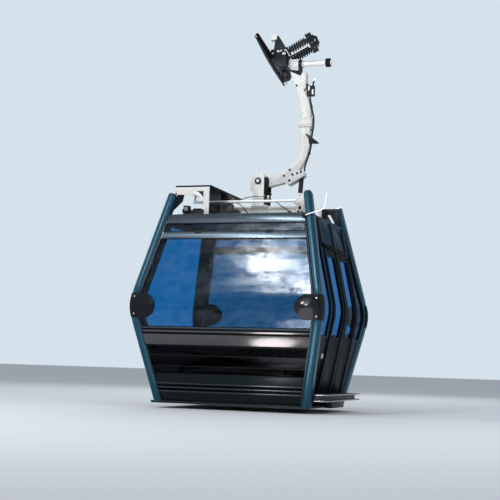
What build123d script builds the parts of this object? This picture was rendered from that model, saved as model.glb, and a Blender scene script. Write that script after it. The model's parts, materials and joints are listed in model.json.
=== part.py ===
"""Ropeway gondola cabin with its hanger and rope grip, in millimetres.

The origin is the centre of the rope in the grip's jaws. +Y runs along the line of travel, +X points to the
door side, +Z is up. The rope descends towards +Y; the hanger and the cabin hang plumb under the grip's shaft.
"""
import math
import os

from build123d import *

# Rope and grip, in the rope's own frame: Y along the rope, Z square to it
ROPE_R = 25.0
ROPE_TILT = 14.5
JAW_WALL = 21.0
JAW_HALF = 165.0
TONGUE_HALF = 620.0
TONGUE_WALL = 6.0
HOUSING_X = (46.0, 240.0)
HOUSING_HALF = 150.0
SHAFT_DROP = 80.0
SHAFT_R = 34.0
SHAFT_END = 726.0
ROLLER_R = 55.0
ROLLER_W = 54.0
ROLLER_BORE = 20.0
SPRING_FOOT = (266.0, 66.0)
SPRING_LEN = 252.0
SPRING_ANGLE = 32.0
SPRING_Y = 108.0
SPRING_R = 44.0
SPRING_WIRE = 10.0
SPRING_TURNS = 7
GUIDE_R = 27.0

# Hanger, from the cabin's pivot pin: X outwards, Z up
PIN_FROM_ROPE = 100.0
PIN_TO_SHAFT = 1492.0
PIN_R = 30.0
PIN_FIT = 0.05
ARM_W = 100.0
HUB_R = 56.0
HEAD_X = (352.0, 480.0)
HEAD_RISE = 55.0
HEAD_W = 112.0
LINK_X = (484.0, 514.0)

# Cabin, from the middle of its underside: half widths at the foot, the waist and the pillars' tops
HALF_X = (965.0, 1200.0, 900.0)
HALF_Y = (815.0, 1180.0, 755.0)
WAIST_Z = 1148.0
PIN_OFFSET = 20.0
WAIST_BEND = 600.0
PILLAR_X = 98.0
PILLAR_Y = 150.0
PILLAR_ROUND = 42.0
PILLAR_DOME = 30.0
PILLAR_FOOT = 6.0
EAVE_Z = 2270.0
SEAM_Z = EAVE_Z - 30
PILLAR_TOP = EAVE_Z + 292
PIN_HEIGHT = EAVE_Z + 515
WALL = 34.0
GLASS = 8.0
FLOOR_Z = (28.0, 96.0)
BASE_LIP = 38.0

# Depths of the faces under the body's outline
FRAME_IN = 26.0
PANEL_IN = 22.0
RAIL_IN = 4.0
STRIP_IN = 14.0
PANE_IN = 38.0
DOOR_IN = 18.0
LINING = FRAME_IN + WALL + 2

# Door side: half widths along the travel, and heights
DOOR_HALF = 550.0
DOOR_GAP = 4.0
DOOR_Z = (176.0, 1880.0)
DOOR_GLASS_Z = (836.0, 1806.0)
SIDE_GLASS_Z = (836.0, EAVE_Z - 110)
STILE = 118.0
JAMB_STILE = 68.0
QUARTER_Y = 664.0
LEFT_JAMB = 330.0
STEP_REACH = 180.0
STEP_Y = 770.0
STEP_Z = (86.0, 166.0)

# Roof gear, from the cabin's underside
ROOF_RISE = 30.0
ROOF_SKIN = 30.0
MOUNT_H = 26.0
MOUNT_R = 55.0
BEAM_H = 140.0
BEAM_X = 593.0
BEAM_Y = 58.0
COVER_Z = EAVE_Z + 342
COVER_T = 28.0
CHEEK = 20.0
CHEEK_GAP = 56.0

# Sway damper, from the pivot pin
DAMPER_TOP = (550.0, 68.0)
DAMPER_FOOT = (527.0, -253.0)
DAMPER_R = 29.0
DAMPER_BODY = 194.0
DAMPER_ROD_R = 12.0
DAMPER_EYE_R = 22.0
DAMPER_PIN_R = 10.0
DAMPER_PLAY = 1.5

TILT = math.radians(ROPE_TILT)
SHAFT_Y = -SHAFT_DROP * math.sin(TILT)
SHAFT_Z = -SHAFT_DROP * math.cos(TILT)
PIN_Z = SHAFT_Z - PIN_TO_SHAFT
ROOF_TOP = EAVE_Z + ROOF_RISE
BEAM_Z = (ROOF_TOP + MOUNT_H, ROOF_TOP + MOUNT_H + BEAM_H)
SADDLE_Z = BEAM_Z[1] - PIN_HEIGHT
CABIN_AT = Location((-PIN_FROM_ROPE - PIN_OFFSET, SHAFT_Y, PIN_Z - PIN_HEIGHT))
HANGER_AT = Location((-PIN_FROM_ROPE, SHAFT_Y, PIN_Z))
GRIP_AT = Location((0, 0, 0), (-ROPE_TILT, 0, 0))
REACH = 2 * max(HALF_X)
ALL = (-REACH, REACH)

os.makedirs("parts", exist_ok=True)


def save(name, place, *shapes):
    """Write one node; its solids don't touch, or are already one."""
    solids = [solid for shape in shapes for solid in shape.solids()]
    whole = solids[0] if len(solids) == 1 else Compound(solids)
    export_step(whole.moved(place), f"parts/{name}.step")


def block(x, y, z):
    """A box between low and high values on each axis."""
    size = [high - low for low, high in (x, y, z)]
    middle = [(high + low) / 2 for low, high in (x, y, z)]
    return Pos(*middle) * Box(*size)


def bar(start, end, radius):
    """A round bar between two points."""
    start, end = Vector(*start), Vector(*end)
    plane = Plane(origin=start, z_dir=end - start)
    low = (Align.CENTER, Align.CENTER, Align.MIN)
    return plane * Cylinder(radius, (end - start).length, align=low)


def disc(x, z, radius, y):
    """A round plate or bore across the travel between two Y values."""
    return bar((x, y[0], z), (x, y[1], z), radius)


def plate(points, y):
    """An outline of (x, z) points extruded between two Y values."""
    face = make_face(Polyline(*[(px, y[0], pz) for px, pz in points], close=True))
    return extrude(face, amount=y[1] - y[0], dir=(0, 1, 0))


def cord(points, radius):
    """A tube along straight runs with arcs as large as the runs allow; prints the arcs' radii."""
    points = [Vector(*p) for p in points]
    runs = [(b - a) for a, b in zip(points, points[1:])]
    radii = []
    for a, b in zip(runs, runs[1:]):
        turn = math.radians(a.get_angle(b))
        radii.append(0.45 * min(a.length, b.length) / math.tan(turn / 2))
    path = FilletPolyline(*points, radius=radii)
    tube = sweep(Plane(origin=path @ 0, z_dir=path % 0) * Circle(radius), path=path)
    print("arcs", [round(r) for r in radii], "length", round(path.length), "section check",
          round(tube.volume / (math.pi * radius ** 2 * path.length), 4))
    return tube


# Body outline: two bent, tapered profiles that cross, with four pillars at the corners


def half_at(halves, z):
    """Half width of the body at a height, with the waist left sharp."""
    bottom, waist, top = halves
    if z < WAIST_Z:
        return bottom + (waist - bottom) * z / WAIST_Z
    return waist + (top - waist) * (z - WAIST_Z) / (PILLAR_TOP - WAIST_Z)


def tapered(halves, inset, along_y, bend=WAIST_BEND):
    """The body's end or side view, drawn in by an inset, as a long prism with its waist rounded or sharp."""
    low, mid, top = [half - inset for half in halves]
    corners = [(-low, 0), (low, 0), (mid, WAIST_Z), (top, PILLAR_TOP), (-top, PILLAR_TOP), (-mid, WAIST_Z)]
    outline = make_face(Polyline(*corners, close=True))
    if bend:
        waist = [v for v in outline.vertices() if abs(v.Y - WAIST_Z) < 1]
        outline = fillet(waist, bend - inset)
    return extrude((Plane.XZ if along_y else Plane.YZ) * outline, amount=REACH, both=True)


def end_plate(inset, thick, z, trim):
    """A bent plate across both end walls between two heights, trimmed at the pillars."""
    shell = tapered(HALF_Y, inset, False) - tapered(HALF_Y, inset + thick, False)
    return shell & tapered(HALF_X, trim, True) & block(ALL, ALL, z)


def side_plate(inset, thick, side, y, z):
    """A bent plate on one side wall between two heights and two places along the travel."""
    shell = tapered(HALF_X, inset, True) - tapered(HALF_X, inset + thick, True)
    return shell & block((0, REACH) if side > 0 else (-REACH, 0), y, z)


def pillar(side_x, side_y, slim, top):
    """A rounded tube bent at the waist along one corner, ended square to itself at the top."""
    def place(z):
        x = side_x * (half_at(HALF_X, z) - PILLAR_X / 2)
        return (x, side_y * (half_at(HALF_Y, z) - PILLAR_Y / 2), z)
    path = FilletPolyline(place(0), place(WAIST_Z), place(top), radius=WAIST_BEND)
    start = Plane(origin=path @ 0, x_dir=(1, 0, 0), z_dir=path % 0)
    section = start * RectangleRounded(PILLAR_X - slim, PILLAR_Y - slim, PILLAR_ROUND - slim / 2)
    return sweep(section, path=path)


SEAM = 5.0
SEAM_DEPTH = 4.0
pillars, envelope = [], []
for sx, sy in ((-1, -1), (-1, 1), (1, -1), (1, 1)):
    full = pillar(sx, sy, 0, PILLAR_TOP - PILLAR_DOME) - block(ALL, ALL, (-REACH, PILLAR_FOOT))
    envelope.append(full)
    crown = full.faces().sort_by(Axis.Z)[-1].edges()
    tube = fillet(crown, PILLAR_DOME - 2)
    ring = block(ALL, ALL, (SEAM_Z, SEAM_Z + SEAM)) - pillar(sx, sy, 2 * SEAM_DEPTH, PILLAR_TOP)
    pillars.append(tube - ring)
save("corner_pillars", CABIN_AT, *pillars)


def clear_of_pillars(shape):
    """Cut a panel where the corner pillars pass."""
    for tube in envelope:
        shape -= tube
    return shape


# End walls: rails and jambs round the windows, then the panes, from low and high edges
END_OPENINGS = {
    "strip_low": (352, 450),
    "strip_high": (569, 682),
    "window": (900, EAVE_Z - 303),
    "vent": (EAVE_Z - 220, EAVE_Z - 112),
}
JAMB = 16.0
PANEL_TOP = 348.0
RIB_Z = (144, 190, 237)
RIB_H = 14.0
RUB_Z = (693, 815)
STRIP_Z = (838, 862)

frame = clear_of_pillars(end_plate(FRAME_IN, WALL, (PANEL_TOP + 2, EAVE_Z), PILLAR_X - 12))
for z in END_OPENINGS.values():
    frame -= block(ALL, ALL, z) & tapered(HALF_X, PILLAR_X + JAMB, True)
save("end_frames", CABIN_AT, frame)

panel = end_plate(PANEL_IN, WALL, (FLOOR_Z[0], PANEL_TOP), PILLAR_X - 12)
for z in RIB_Z:
    panel += end_plate(PANEL_IN - 12, 14, (z - RIB_H / 2, z + RIB_H / 2), PILLAR_X + 8)
save("end_panels", CABIN_AT, clear_of_pillars(panel))

rub = end_plate(RAIL_IN, FRAME_IN - RAIL_IN, RUB_Z, PILLAR_X + 4)
sill = end_plate(STRIP_IN, FRAME_IN - STRIP_IN, STRIP_Z, PILLAR_X + 4)
save("rub_rails", CABIN_AT, clear_of_pillars(rub), clear_of_pillars(sill))

for name, keys in (("end_windows", ["window"]), ("small_end_windows", ["strip_low", "strip_high", "vent"])):
    panes = []
    for key in keys:
        panes += end_plate(PANE_IN, GLASS, END_OPENINGS[key], PILLAR_X + JAMB).solids()
    save(name, CABIN_AT, *panes)

# Rubber bumpers on the end walls at the waist: half round towards the window, square against the pillar
BUMPER_R = 148.0
BUMPER_IN = 187.0
BUMPER_OVER = 60.0
BUMPER_PROUD = 2.0


def bumper(side_x, side_y):
    """One bumper, cut from a skin that stands proud of the end wall and keeps a crease at the waist."""
    centre = half_at(HALF_X, WAIST_Z) - BUMPER_IN
    low, high = WAIST_Z - BUMPER_R, WAIST_Z + BUMPER_R
    y = (0, side_y * REACH) if side_y > 0 else (side_y * REACH, 0)
    outline = disc(side_x * centre, WAIST_Z, BUMPER_R, y)
    edge = side_x * (half_at(HALF_X, WAIST_Z) - BUMPER_OVER)
    outline += block(sorted((side_x * centre, edge)), y, (low, high))
    skin = tapered(HALF_Y, -BUMPER_PROUD, False, 0) - tapered(HALF_Y, FRAME_IN, False)
    return skin & outline


bumpers = [clear_of_pillars(bumper(sx, sy)) for sx in (-1, 1) for sy in (-1, 1)]
save("bumpers", CABIN_AT, *bumpers)

# Left wall: one wide window over a plain panel
inner_y = tapered(HALF_Y, LINING, False)
full_wall = (-HALF_Y[1], HALF_Y[1])
left_zone = tapered(HALF_Y, LEFT_JAMB, False) & block((-REACH, 0), ALL, SIDE_GLASS_Z)
left = side_plate(FRAME_IN, WALL, -1, full_wall, (FLOOR_Z[0], EAVE_Z)) & inner_y
save("left_wall", CABIN_AT, clear_of_pillars(left) - left_zone)

# Right wall: sill, jambs with quarter windows, and the header over the doors
right = side_plate(FRAME_IN, WALL, 1, full_wall, (FLOOR_Z[0], EAVE_Z)) & inner_y
right = clear_of_pillars(right)
right -= block((0, REACH), (-DOOR_HALF, DOOR_HALF), (DOOR_Z[0] - DOOR_GAP, DOOR_Z[1] + DOOR_GAP))
quarter_zone = block((0, REACH), (QUARTER_Y, REACH), SIDE_GLASS_Z)
quarter_zone += block((0, REACH), (-REACH, -QUARTER_Y), SIDE_GLASS_Z)
quarter_zone &= tapered(HALF_Y, PILLAR_Y + JAMB, False)
save("door_frame", CABIN_AT, right - quarter_zone)

left_pane = side_plate(PANE_IN, GLASS, -1, full_wall, SIDE_GLASS_Z) & left_zone
quarter_panes = side_plate(PANE_IN, GLASS, 1, full_wall, SIDE_GLASS_Z) & quarter_zone
save("side_windows", CABIN_AT, left_pane, quarter_panes)

# Two door leaves that meet at the middle, each a framed panel with its own pane
door_panes = []
for name, low, high, near, far in (
        ("front", -DOOR_HALF + DOOR_GAP, -DOOR_GAP / 2, JAMB_STILE, STILE),
        ("rear", DOOR_GAP / 2, DOOR_HALF - DOOR_GAP, STILE, JAMB_STILE)):
    light = (low + near, high - far)
    leaf = side_plate(DOOR_IN, WALL + 2, 1, (low, high), DOOR_Z)
    save(f"door_{name}", CABIN_AT, leaf - block((0, REACH), light, DOOR_GLASS_Z))
    door_panes.append(side_plate(PANE_IN - 4, GLASS, 1, light, DOOR_GLASS_Z))
save("door_glass", CABIN_AT, *door_panes)

# Floor, with a lip that stands out at the left foot, and the door step with its guide block
base = block((-HALF_X[0] - BASE_LIP, HALF_X[0]), (-HALF_Y[0], HALF_Y[0]), (0, FLOOR_Z[0]))
deck = tapered(HALF_X, LINING, True) & tapered(HALF_Y, LINING, False) & block(ALL, ALL, FLOOR_Z)
save("base_plate", CABIN_AT, clear_of_pillars(base))
save("floor", CABIN_AT, clear_of_pillars(deck))

GUIDE_X = (40.0, 130.0)
GUIDE_Y = 290.0
STEP_LIP = 14.0
STEP_RIM = 60.0
step_x = (HALF_X[0] - LINING, half_at(HALF_X, STEP_Z[1]) + STEP_REACH)
step = block(step_x, (-STEP_Y, STEP_Y), STEP_Z)
step -= block((step_x[1] - STEP_RIM, REACH), ALL, (STEP_Z[0] + STEP_LIP, STEP_Z[1] - STEP_LIP))
step -= tapered(HALF_X, FRAME_IN, True)
step += block((HALF_X[0] + GUIDE_X[0], HALF_X[0] + GUIDE_X[1]), (-GUIDE_Y, GUIDE_Y), (0, STEP_Z[0] + 1))
save("door_step", CABIN_AT, clear_of_pillars(step))

# Roof: a shallow hipped shell on the eaves
HIP_RUN = (215.0, 195.0)
EAVE_IN = FRAME_IN + WALL + 4
ROOF_FOOT = 45.0
NOTCH_GAP = 6.0


def hip(inset, foot):
    """A shallow hipped form on the eaves, drawn in by a skin's thickness and carried down to a foot."""
    wide = 2 * (half_at(HALF_X, EAVE_Z) - EAVE_IN - inset)
    deep = 2 * (half_at(HALF_Y, EAVE_Z) - EAVE_IN - inset)
    low = Pos(0, 0, foot) * Rectangle(wide, deep)
    mid = Pos(0, 0, EAVE_Z - inset) * Rectangle(wide, deep)
    top = Pos(0, 0, ROOF_TOP - inset) * Rectangle(wide - 2 * HIP_RUN[0], deep - 2 * HIP_RUN[1])
    return loft([low.face(), mid.face()], ruled=True) + loft([mid.face(), top.face()], ruled=True)


roof_form = hip(0, EAVE_Z - ROOF_FOOT)
roof = roof_form - hip(ROOF_SKIN, EAVE_Z - ROOF_FOOT - 1)
notch_x = half_at(HALF_X, ROOF_TOP) - PILLAR_X - NOTCH_GAP
notch_y = half_at(HALF_Y, ROOF_TOP) - PILLAR_Y - NOTCH_GAP
for sx, sy in ((-1, -1), (-1, 1), (1, -1), (1, 1)):
    roof -= block(sorted((sx * notch_x, sx * REACH)), sorted((sy * notch_y, sy * REACH)), (0, PILLAR_TOP))
save("roof", CABIN_AT, roof)

# Crossbeam on rubber mounts, and the pivot upright that straddles it
beam = block((PIN_OFFSET - BEAM_X, PIN_OFFSET + BEAM_X), (-BEAM_Y, BEAM_Y), BEAM_Z)
save("crossbeam", CABIN_AT, beam)
MOUNT_X = 0.85 * BEAM_X
mounts = [Pos(PIN_OFFSET + side * MOUNT_X, 0, ROOF_TOP + MOUNT_H / 2) * Cylinder(MOUNT_R, MOUNT_H) for side in (-1, 1)]
save("beam_mounts", CABIN_AT, *mounts)

UPRIGHT_X = (-74.0, 80.0)
UPRIGHT_TOP = 96.0
SHOULDER_X = -100.0
SHOULDER_Z = (-113.0, -11.0)
SADDLE_X = (-84.0, 128.0)
SADDLE_T = 14.0


def cheek(y0):
    """One side plate of the upright, with its corners cut over the pin and a shoulder at its left edge."""
    outline = plate([
        (UPRIGHT_X[0] + 6, SADDLE_Z), (UPRIGHT_X[1], SADDLE_Z), (UPRIGHT_X[1], UPRIGHT_TOP - 12),
        (UPRIGHT_X[1] - 12, UPRIGHT_TOP), (UPRIGHT_X[0] + 26, UPRIGHT_TOP), (UPRIGHT_X[0], UPRIGHT_TOP - 40),
        (SHOULDER_X, SHOULDER_Z[1]), (SHOULDER_X, SHOULDER_Z[0]), (UPRIGHT_X[0] + 6, SHOULDER_Z[0] - 26)],
        (y0, y0 + CHEEK))
    return outline - disc(0, 0, PIN_R + PIN_FIT, (y0 - 1, y0 + CHEEK + 1))


upright = cheek(CHEEK_GAP) + cheek(-CHEEK_GAP - CHEEK)
upright += block((UPRIGHT_X[0] + 6, -16), (-CHEEK_GAP, CHEEK_GAP), (SADDLE_Z, SHOULDER_Z[0] - 30))
saddle = block(SADDLE_X, (-BEAM_Y - SADDLE_T, BEAM_Y + SADDLE_T), (SADDLE_Z - BEAM_H + 4, SADDLE_Z + SADDLE_T))
saddle -= block(ALL, (-BEAM_Y, BEAM_Y), (SADDLE_Z - BEAM_H, SADDLE_Z))
saddle += block(SADDLE_X, (-CHEEK_GAP - CHEEK, CHEEK_GAP + CHEEK), (SADDLE_Z, SADDLE_Z + SADDLE_T))
save("pivot_upright", HANGER_AT, upright + saddle)

PIN_COLLAR = 12.0
cheek_out = CHEEK_GAP + CHEEK
pin = disc(0, 0, PIN_R, (-cheek_out - PIN_COLLAR, cheek_out + PIN_COLLAR))
for side in (-1, 1):
    pin += disc(0, 0, PIN_R + 12, sorted((side * cheek_out, side * (cheek_out + PIN_COLLAR - 4))))
save("pivot_pin", HANGER_AT, pin)

# Rubber buffer beside the upright: a block on a holed web, with two cheeks that guide the hanger's foot
BUFFER_X = (80.2, 146.0)
BUFFER_NOTCH = ((90.0, 132.0), (-224.0, -164.0))
BUFFER_HALF = 20.0
BUFFER_TOP = -141.0
GUARD_X = 131.0
GUARD_TOP = 50.0
buffer = block(BUFFER_X, (-BUFFER_HALF, BUFFER_HALF), (SADDLE_Z + SADDLE_T, BUFFER_NOTCH[1][1]))
buffer -= block(BUFFER_NOTCH[0], ALL, BUFFER_NOTCH[1])
buffer += block(BUFFER_X, (-CHEEK_GAP, CHEEK_GAP), (BUFFER_NOTCH[1][1], BUFFER_TOP))
for side in (-1, 1):
    y = sorted((side * CHEEK_GAP, side * (CHEEK_GAP + CHEEK)))
    buffer += block((BUFFER_X[0], GUARD_X), y, (BUFFER_NOTCH[1][1], GUARD_TOP))
save("sway_buffer", HANGER_AT, buffer)

# Hanger arm: one bent box section from the pivot to the head, outlined from its inner and outer edges
FOOT_X = 132.0
ARM_FOOT_Z = (-77.0, 34.0)
ARM_INNER = ((316, 116), (458, 232), (531, 509), (530, 865), (481, 1080), (407, 1285), (371, 1399))
ARM_OUTER = ((334, -28), (566, 195), (653, 505), (654, 860), (623, 1015), (555, 1158))
ARM_EAR = ((586, 1170), (586, 1377), (531, 1377), (511, 1335))
with BuildPart() as arm_build:
    with BuildSketch(Plane.XZ) as arm_face:
        with BuildLine():
            Polyline((FOOT_X, ARM_FOOT_Z[1]), (FOOT_X, ARM_FOOT_Z[0]), ARM_OUTER[0])
            ThreePointArc(*ARM_OUTER[0:3])
            Line(*ARM_OUTER[2:4])
            ThreePointArc(*ARM_OUTER[3:6])
            Polyline(ARM_OUTER[5], *ARM_EAR, ARM_INNER[6], ARM_INNER[5])
            ThreePointArc(*ARM_INNER[3:6])
            Line(*ARM_INNER[2:4])
            ThreePointArc(*ARM_INNER[0:3])
            Line(ARM_INNER[0], (FOOT_X, ARM_FOOT_Z[1]))
        make_face()
    extrude(amount=ARM_W / 2, both=True)
arm = arm_build.part
save("hanger_arm", HANGER_AT, arm)

COLLAR_X = (508.0, 676.0)
COLLAR_Z = (675.0, 788.0)
COLLAR_T = 16.0
collar = block(COLLAR_X, (-ARM_W / 2 - COLLAR_T, ARM_W / 2 + COLLAR_T), COLLAR_Z) - arm
save("arm_collar", HANGER_AT, collar)

FIN = ((598, 584), (620, 584), (778, 464), (770, 452), (650, 456), (640, 520))
save("arm_fin", HANGER_AT, plate(FIN, (-ARM_W / 2 - 8, -ARM_W / 2)))

foot = block((-20, FOOT_X), (-ARM_W / 2 + 1, ARM_W / 2 - 1), (ARM_FOOT_Z[0] + 20, ARM_FOOT_Z[1] - 4))
foot += disc(0, 0, HUB_R, (-ARM_W / 2 + 1, ARM_W / 2 - 1))
foot -= disc(0, 0, PIN_R + PIN_FIT, (-ARM_W, ARM_W))
save("hanger_foot", HANGER_AT, foot)

# Head of the hanger on the grip's shaft, over a rubber pad, with a link on its outer side
HEAD_FOOT = ((480.0, 1400.0), (386.0, 1412.0), (362.0, 1450.0))
PAD_T = 26.0
shaft_bore = bar((HEAD_X[0] - 9, 0, PIN_TO_SHAFT), (LINK_X[1] + 9, 0, PIN_TO_SHAFT), SHAFT_R + PIN_FIT)
head_top = PIN_TO_SHAFT + HEAD_RISE
head = plate([(HEAD_X[0], head_top), (HEAD_X[1], head_top), *HEAD_FOOT], (-HEAD_W / 2, HEAD_W / 2))
save("hanger_head", HANGER_AT, head - shaft_bore)
pad_end, pad_start = HEAD_FOOT[0], HEAD_FOOT[1]
pad = plate([pad_start, pad_end, (pad_end[0] + 14, pad_end[1] - 70), (pad_start[0] - 10, pad_start[1] - PAD_T)],
            (-ARM_W / 2 + 4, ARM_W / 2 - 4))
save("head_pad", HANGER_AT, pad - arm)
link = bar((LINK_X[0], 0, PIN_TO_SHAFT), (LINK_X[1], 0, PIN_TO_SHAFT), SHAFT_R + 24)
link += block(LINK_X, (-ARM_W / 2 + 8, ARM_W / 2 - 8), (ARM_EAR[3][1] - 6, PIN_TO_SHAFT))
save("hanger_link", HANGER_AT, link - shaft_bore - arm - pad)

# Sensor box on the arm's ear, with its round head on a neck
BOX_X = (ARM_EAR[0][0] + 8, 684.0)
BOX_Z = (1076.0, 1212.0)
KNOB = (686.0, -10.0, 1282.0)
sensor = fillet(block(BOX_X, (-40, 32), BOX_Z).edges().filter_by(Axis.Y), 8)
sensor += block((ARM_EAR[0][0], BOX_X[0] + 2), (-34, 26), (BOX_Z[0] + 94, BOX_Z[1] + 26))
sensor += bar((KNOB[0] - 26, KNOB[1], BOX_Z[1] - 6), KNOB, 11)
sensor += Pos(*KNOB) * Sphere(21)
save("sensor_box", HANGER_AT, sensor - arm)

# Sway damper between the arm and the crossbeam's end
top = Vector(DAMPER_TOP[0], 0, DAMPER_TOP[1])
low = Vector(DAMPER_FOOT[0], 0, DAMPER_FOOT[1])
damper_length = (low - top).length
along = (low - top).normalized()


def eye(at, width, play):
    """A round eye across the travel with a hole for its pin."""
    outer = disc(at.X, at.Z, DAMPER_EYE_R, (-width / 2, width / 2))
    return outer - disc(at.X, at.Z, DAMPER_PIN_R + play, (-width, width))


def on_axis(distance):
    """A point on the damper's axis, from its top eye."""
    return tuple(top + along * distance)


BODY_FROM = 26.0
ROD_FROM = BODY_FROM + DAMPER_BODY / 2
body_end = BODY_FROM + DAMPER_BODY
cylinder = bar(on_axis(BODY_FROM), on_axis(body_end), DAMPER_R)
cylinder -= bar(on_axis(BODY_FROM + 26), on_axis(body_end + 5), DAMPER_ROD_R + PIN_FIT)
cylinder += bar(on_axis(10), on_axis(BODY_FROM + 1), 15)
cylinder -= disc(top.X, top.Z, DAMPER_PIN_R + PIN_FIT, (-60, 60))
cylinder += eye(top, 40, PIN_FIT)
save("damper_cylinder", HANGER_AT, cylinder)
rod = bar(on_axis(ROD_FROM), on_axis(damper_length - DAMPER_EYE_R + 3), DAMPER_ROD_R)
rod += eye(low, 36, DAMPER_PLAY)
save("damper_rod", HANGER_AT, rod)

# Clamp plates on the arm that carry the damper's top eye, with the boss where the arm's cable ends
CLAMP = ((345, -12), (470, 116), (545, 126), (582, 100), (598, 62), (575, 40), (398, -58), (360, -40))
CLAMP_T = 14.0
CABLE_BOSS = (588.0, -20.0)
arm_side = ARM_W / 2
clamp = plate(CLAMP, (-arm_side - CLAMP_T, -arm_side)) + plate(CLAMP, (arm_side, arm_side + CLAMP_T))
clamp += block((576, 596), (-arm_side, -24), (52, 96)) + block((576, 596), (24, arm_side), (52, 96))
clamp += disc(top.X, top.Z, DAMPER_PIN_R, (-arm_side, arm_side))
clamp += block((576, 600), (-arm_side, CABLE_BOSS[1] + 12), (86, 112))
save("damper_bracket", HANGER_AT, clamp - arm)

# Bracket over the crossbeam's end that carries the damper's rod eye: two ears and a capping plate
EAR_X = (500.0, 601.0)
EAR_TOP = -190.0
EAR_GAP = 36.0
EAR_T = 14.0
ears = Part()
for y0 in (-EAR_GAP - EAR_T, EAR_GAP):
    ears += plate([(EAR_X[0], SADDLE_Z), (EAR_X[1], SADDLE_Z), (EAR_X[1], EAR_TOP), (EAR_X[1] - 26, EAR_TOP),
                   (EAR_X[0], low.Z + 12)], (y0, y0 + EAR_T))
ears += disc(low.X, low.Z, DAMPER_PIN_R, (-EAR_GAP, EAR_GAP))
ears += block((EAR_X[1] - 14, EAR_X[1]), (-EAR_GAP, EAR_GAP), (SADDLE_Z, low.Z + 30))
save("damper_foot", HANGER_AT, ears)

# Roof cover at the near left, with a lug folded down by the pillar, on its two brackets, the near one arched
COVER_X = (-826.0, -366.0)
COVER_Y = (-715.0, 420.0)
LUG_DROP = 270.0
LUG_SLOPE = 104.0
LUG_T = 10.0
LUG_W = 92.0
LUG_HEAD = 34.0
LUG_FOOT = 22.0
LUG_BACK = 14.0
cover = block(COVER_X, COVER_Y, (COVER_Z, COVER_Z + COVER_T))
lug_x = (COVER_X[0], COVER_X[0] + LUG_W)
lug_y = (COVER_Y[0] + LUG_BACK, COVER_Y[0] + LUG_BACK + LUG_T)
cover += plate([(lug_x[0], COVER_Z + 1), (lug_x[1] + LUG_HEAD, COVER_Z + 1),
                (lug_x[1], COVER_Z - LUG_DROP + LUG_SLOPE), (lug_x[0] - LUG_FOOT, COVER_Z - LUG_DROP)], lug_y)
save("roof_panel", CABIN_AT, clear_of_pillars(cover))
BRACKET_X = (-812.0, -366.0)
BRACKET_DEEP = 92.0
POST_W = 60.0
BRACKET_T = 12.0
arch_z = COVER_Z - BRACKET_DEEP
post = (BRACKET_X[1] - POST_W, BRACKET_X[1])
bracket_foot = EAVE_Z + 2
with BuildPart() as bracket_build:
    with BuildSketch(Plane.XZ) as bracket_face:
        with BuildLine():
            Polyline((BRACKET_X[0], COVER_Z), (post[1], COVER_Z), (post[1], bracket_foot), (post[0], bracket_foot),
                     (post[0], arch_z - 128))
            ThreePointArc((post[0], arch_z - 128), (post[0] - 50, arch_z - 52), (post[0] - 172, arch_z))
            Polyline((post[0] - 172, arch_z), (BRACKET_X[0] + 24, arch_z), (BRACKET_X[0], COVER_Z))
        make_face()
        with BuildLine():
            Polyline((post[0] - 112, COVER_Z - 52), (post[0] - 14, COVER_Z - 52), (post[0] - 14, COVER_Z - 138))
            ThreePointArc((post[0] - 14, COVER_Z - 138), (post[0] - 46, COVER_Z - 92), (post[0] - 112, COVER_Z - 52))
        make_face(mode=Mode.SUBTRACT)
    extrude(amount=BRACKET_T)
near_bracket = Pos(0, COVER_Y[0] - 35, 0) * bracket_build.part
stay_y = BEAM_Y + 42
far_stay = block(post, (stay_y, stay_y + BRACKET_T), (ROOF_TOP, COVER_Z))
save("panel_bracket", CABIN_AT, near_bracket - roof_form, far_stay)

# Door drive low on the roof under the cover: a long box with a switch, a motor and an end post on it, and a
# terminal box hung from the cover beside the crossbeam
DRIVE_X = (COVER_X[0] + 22, BEAM_X * -0.19)
DRIVE_Y = (-500.0, -310.0)
DRIVE_H = 70.0
SWITCH_W = 66.0
SWITCH_H = 56.0
STEP_UP = 18.0
MOTOR_X = (DRIVE_X[0] + 312, DRIVE_X[0] + 520)
MOTOR_H = 96.0
POST_X = DRIVE_X[1] - 74
JUNCTION_X = (COVER_X[1] - 74, COVER_X[1] + 38)
JUNCTION_Y = (-BEAM_Y - 112, -BEAM_Y - 17)
JUNCTION_DROP = 142.0
drive_top = ROOF_TOP + DRIVE_H
drive = block(DRIVE_X, DRIVE_Y, (EAVE_Z, drive_top))
drive += block((DRIVE_X[0], DRIVE_X[0] + SWITCH_W), (DRIVE_Y[0], DRIVE_Y[0] + 90), (EAVE_Z, drive_top + SWITCH_H))
drive += block((DRIVE_X[0] + SWITCH_W + 60, DRIVE_X[0] + 230), DRIVE_Y, (EAVE_Z, drive_top + STEP_UP))
drive += block(MOTOR_X, (DRIVE_Y[0] + 30, DRIVE_Y[1]), (EAVE_Z, drive_top + MOTOR_H))
drive += block((MOTOR_X[1] + 30, MOTOR_X[1] + 48), (DRIVE_Y[0] + 40, DRIVE_Y[0] + 90), (EAVE_Z, drive_top + MOTOR_H - 16))
drive += block((POST_X, POST_X + 20), (DRIVE_Y[0] + 40, DRIVE_Y[0] + 90), (EAVE_Z, drive_top + MOTOR_H - 36))
drive += bar((DRIVE_X[0] - 20, DRIVE_Y[0] + 40, drive_top - 8), (DRIVE_X[0] + 1, DRIVE_Y[0] + 40, drive_top - 8), 30)
junction = block(JUNCTION_X, JUNCTION_Y, (COVER_Z - JUNCTION_DROP, COVER_Z))
save("roof_drive", CABIN_AT, drive - roof_form, junction)

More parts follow.
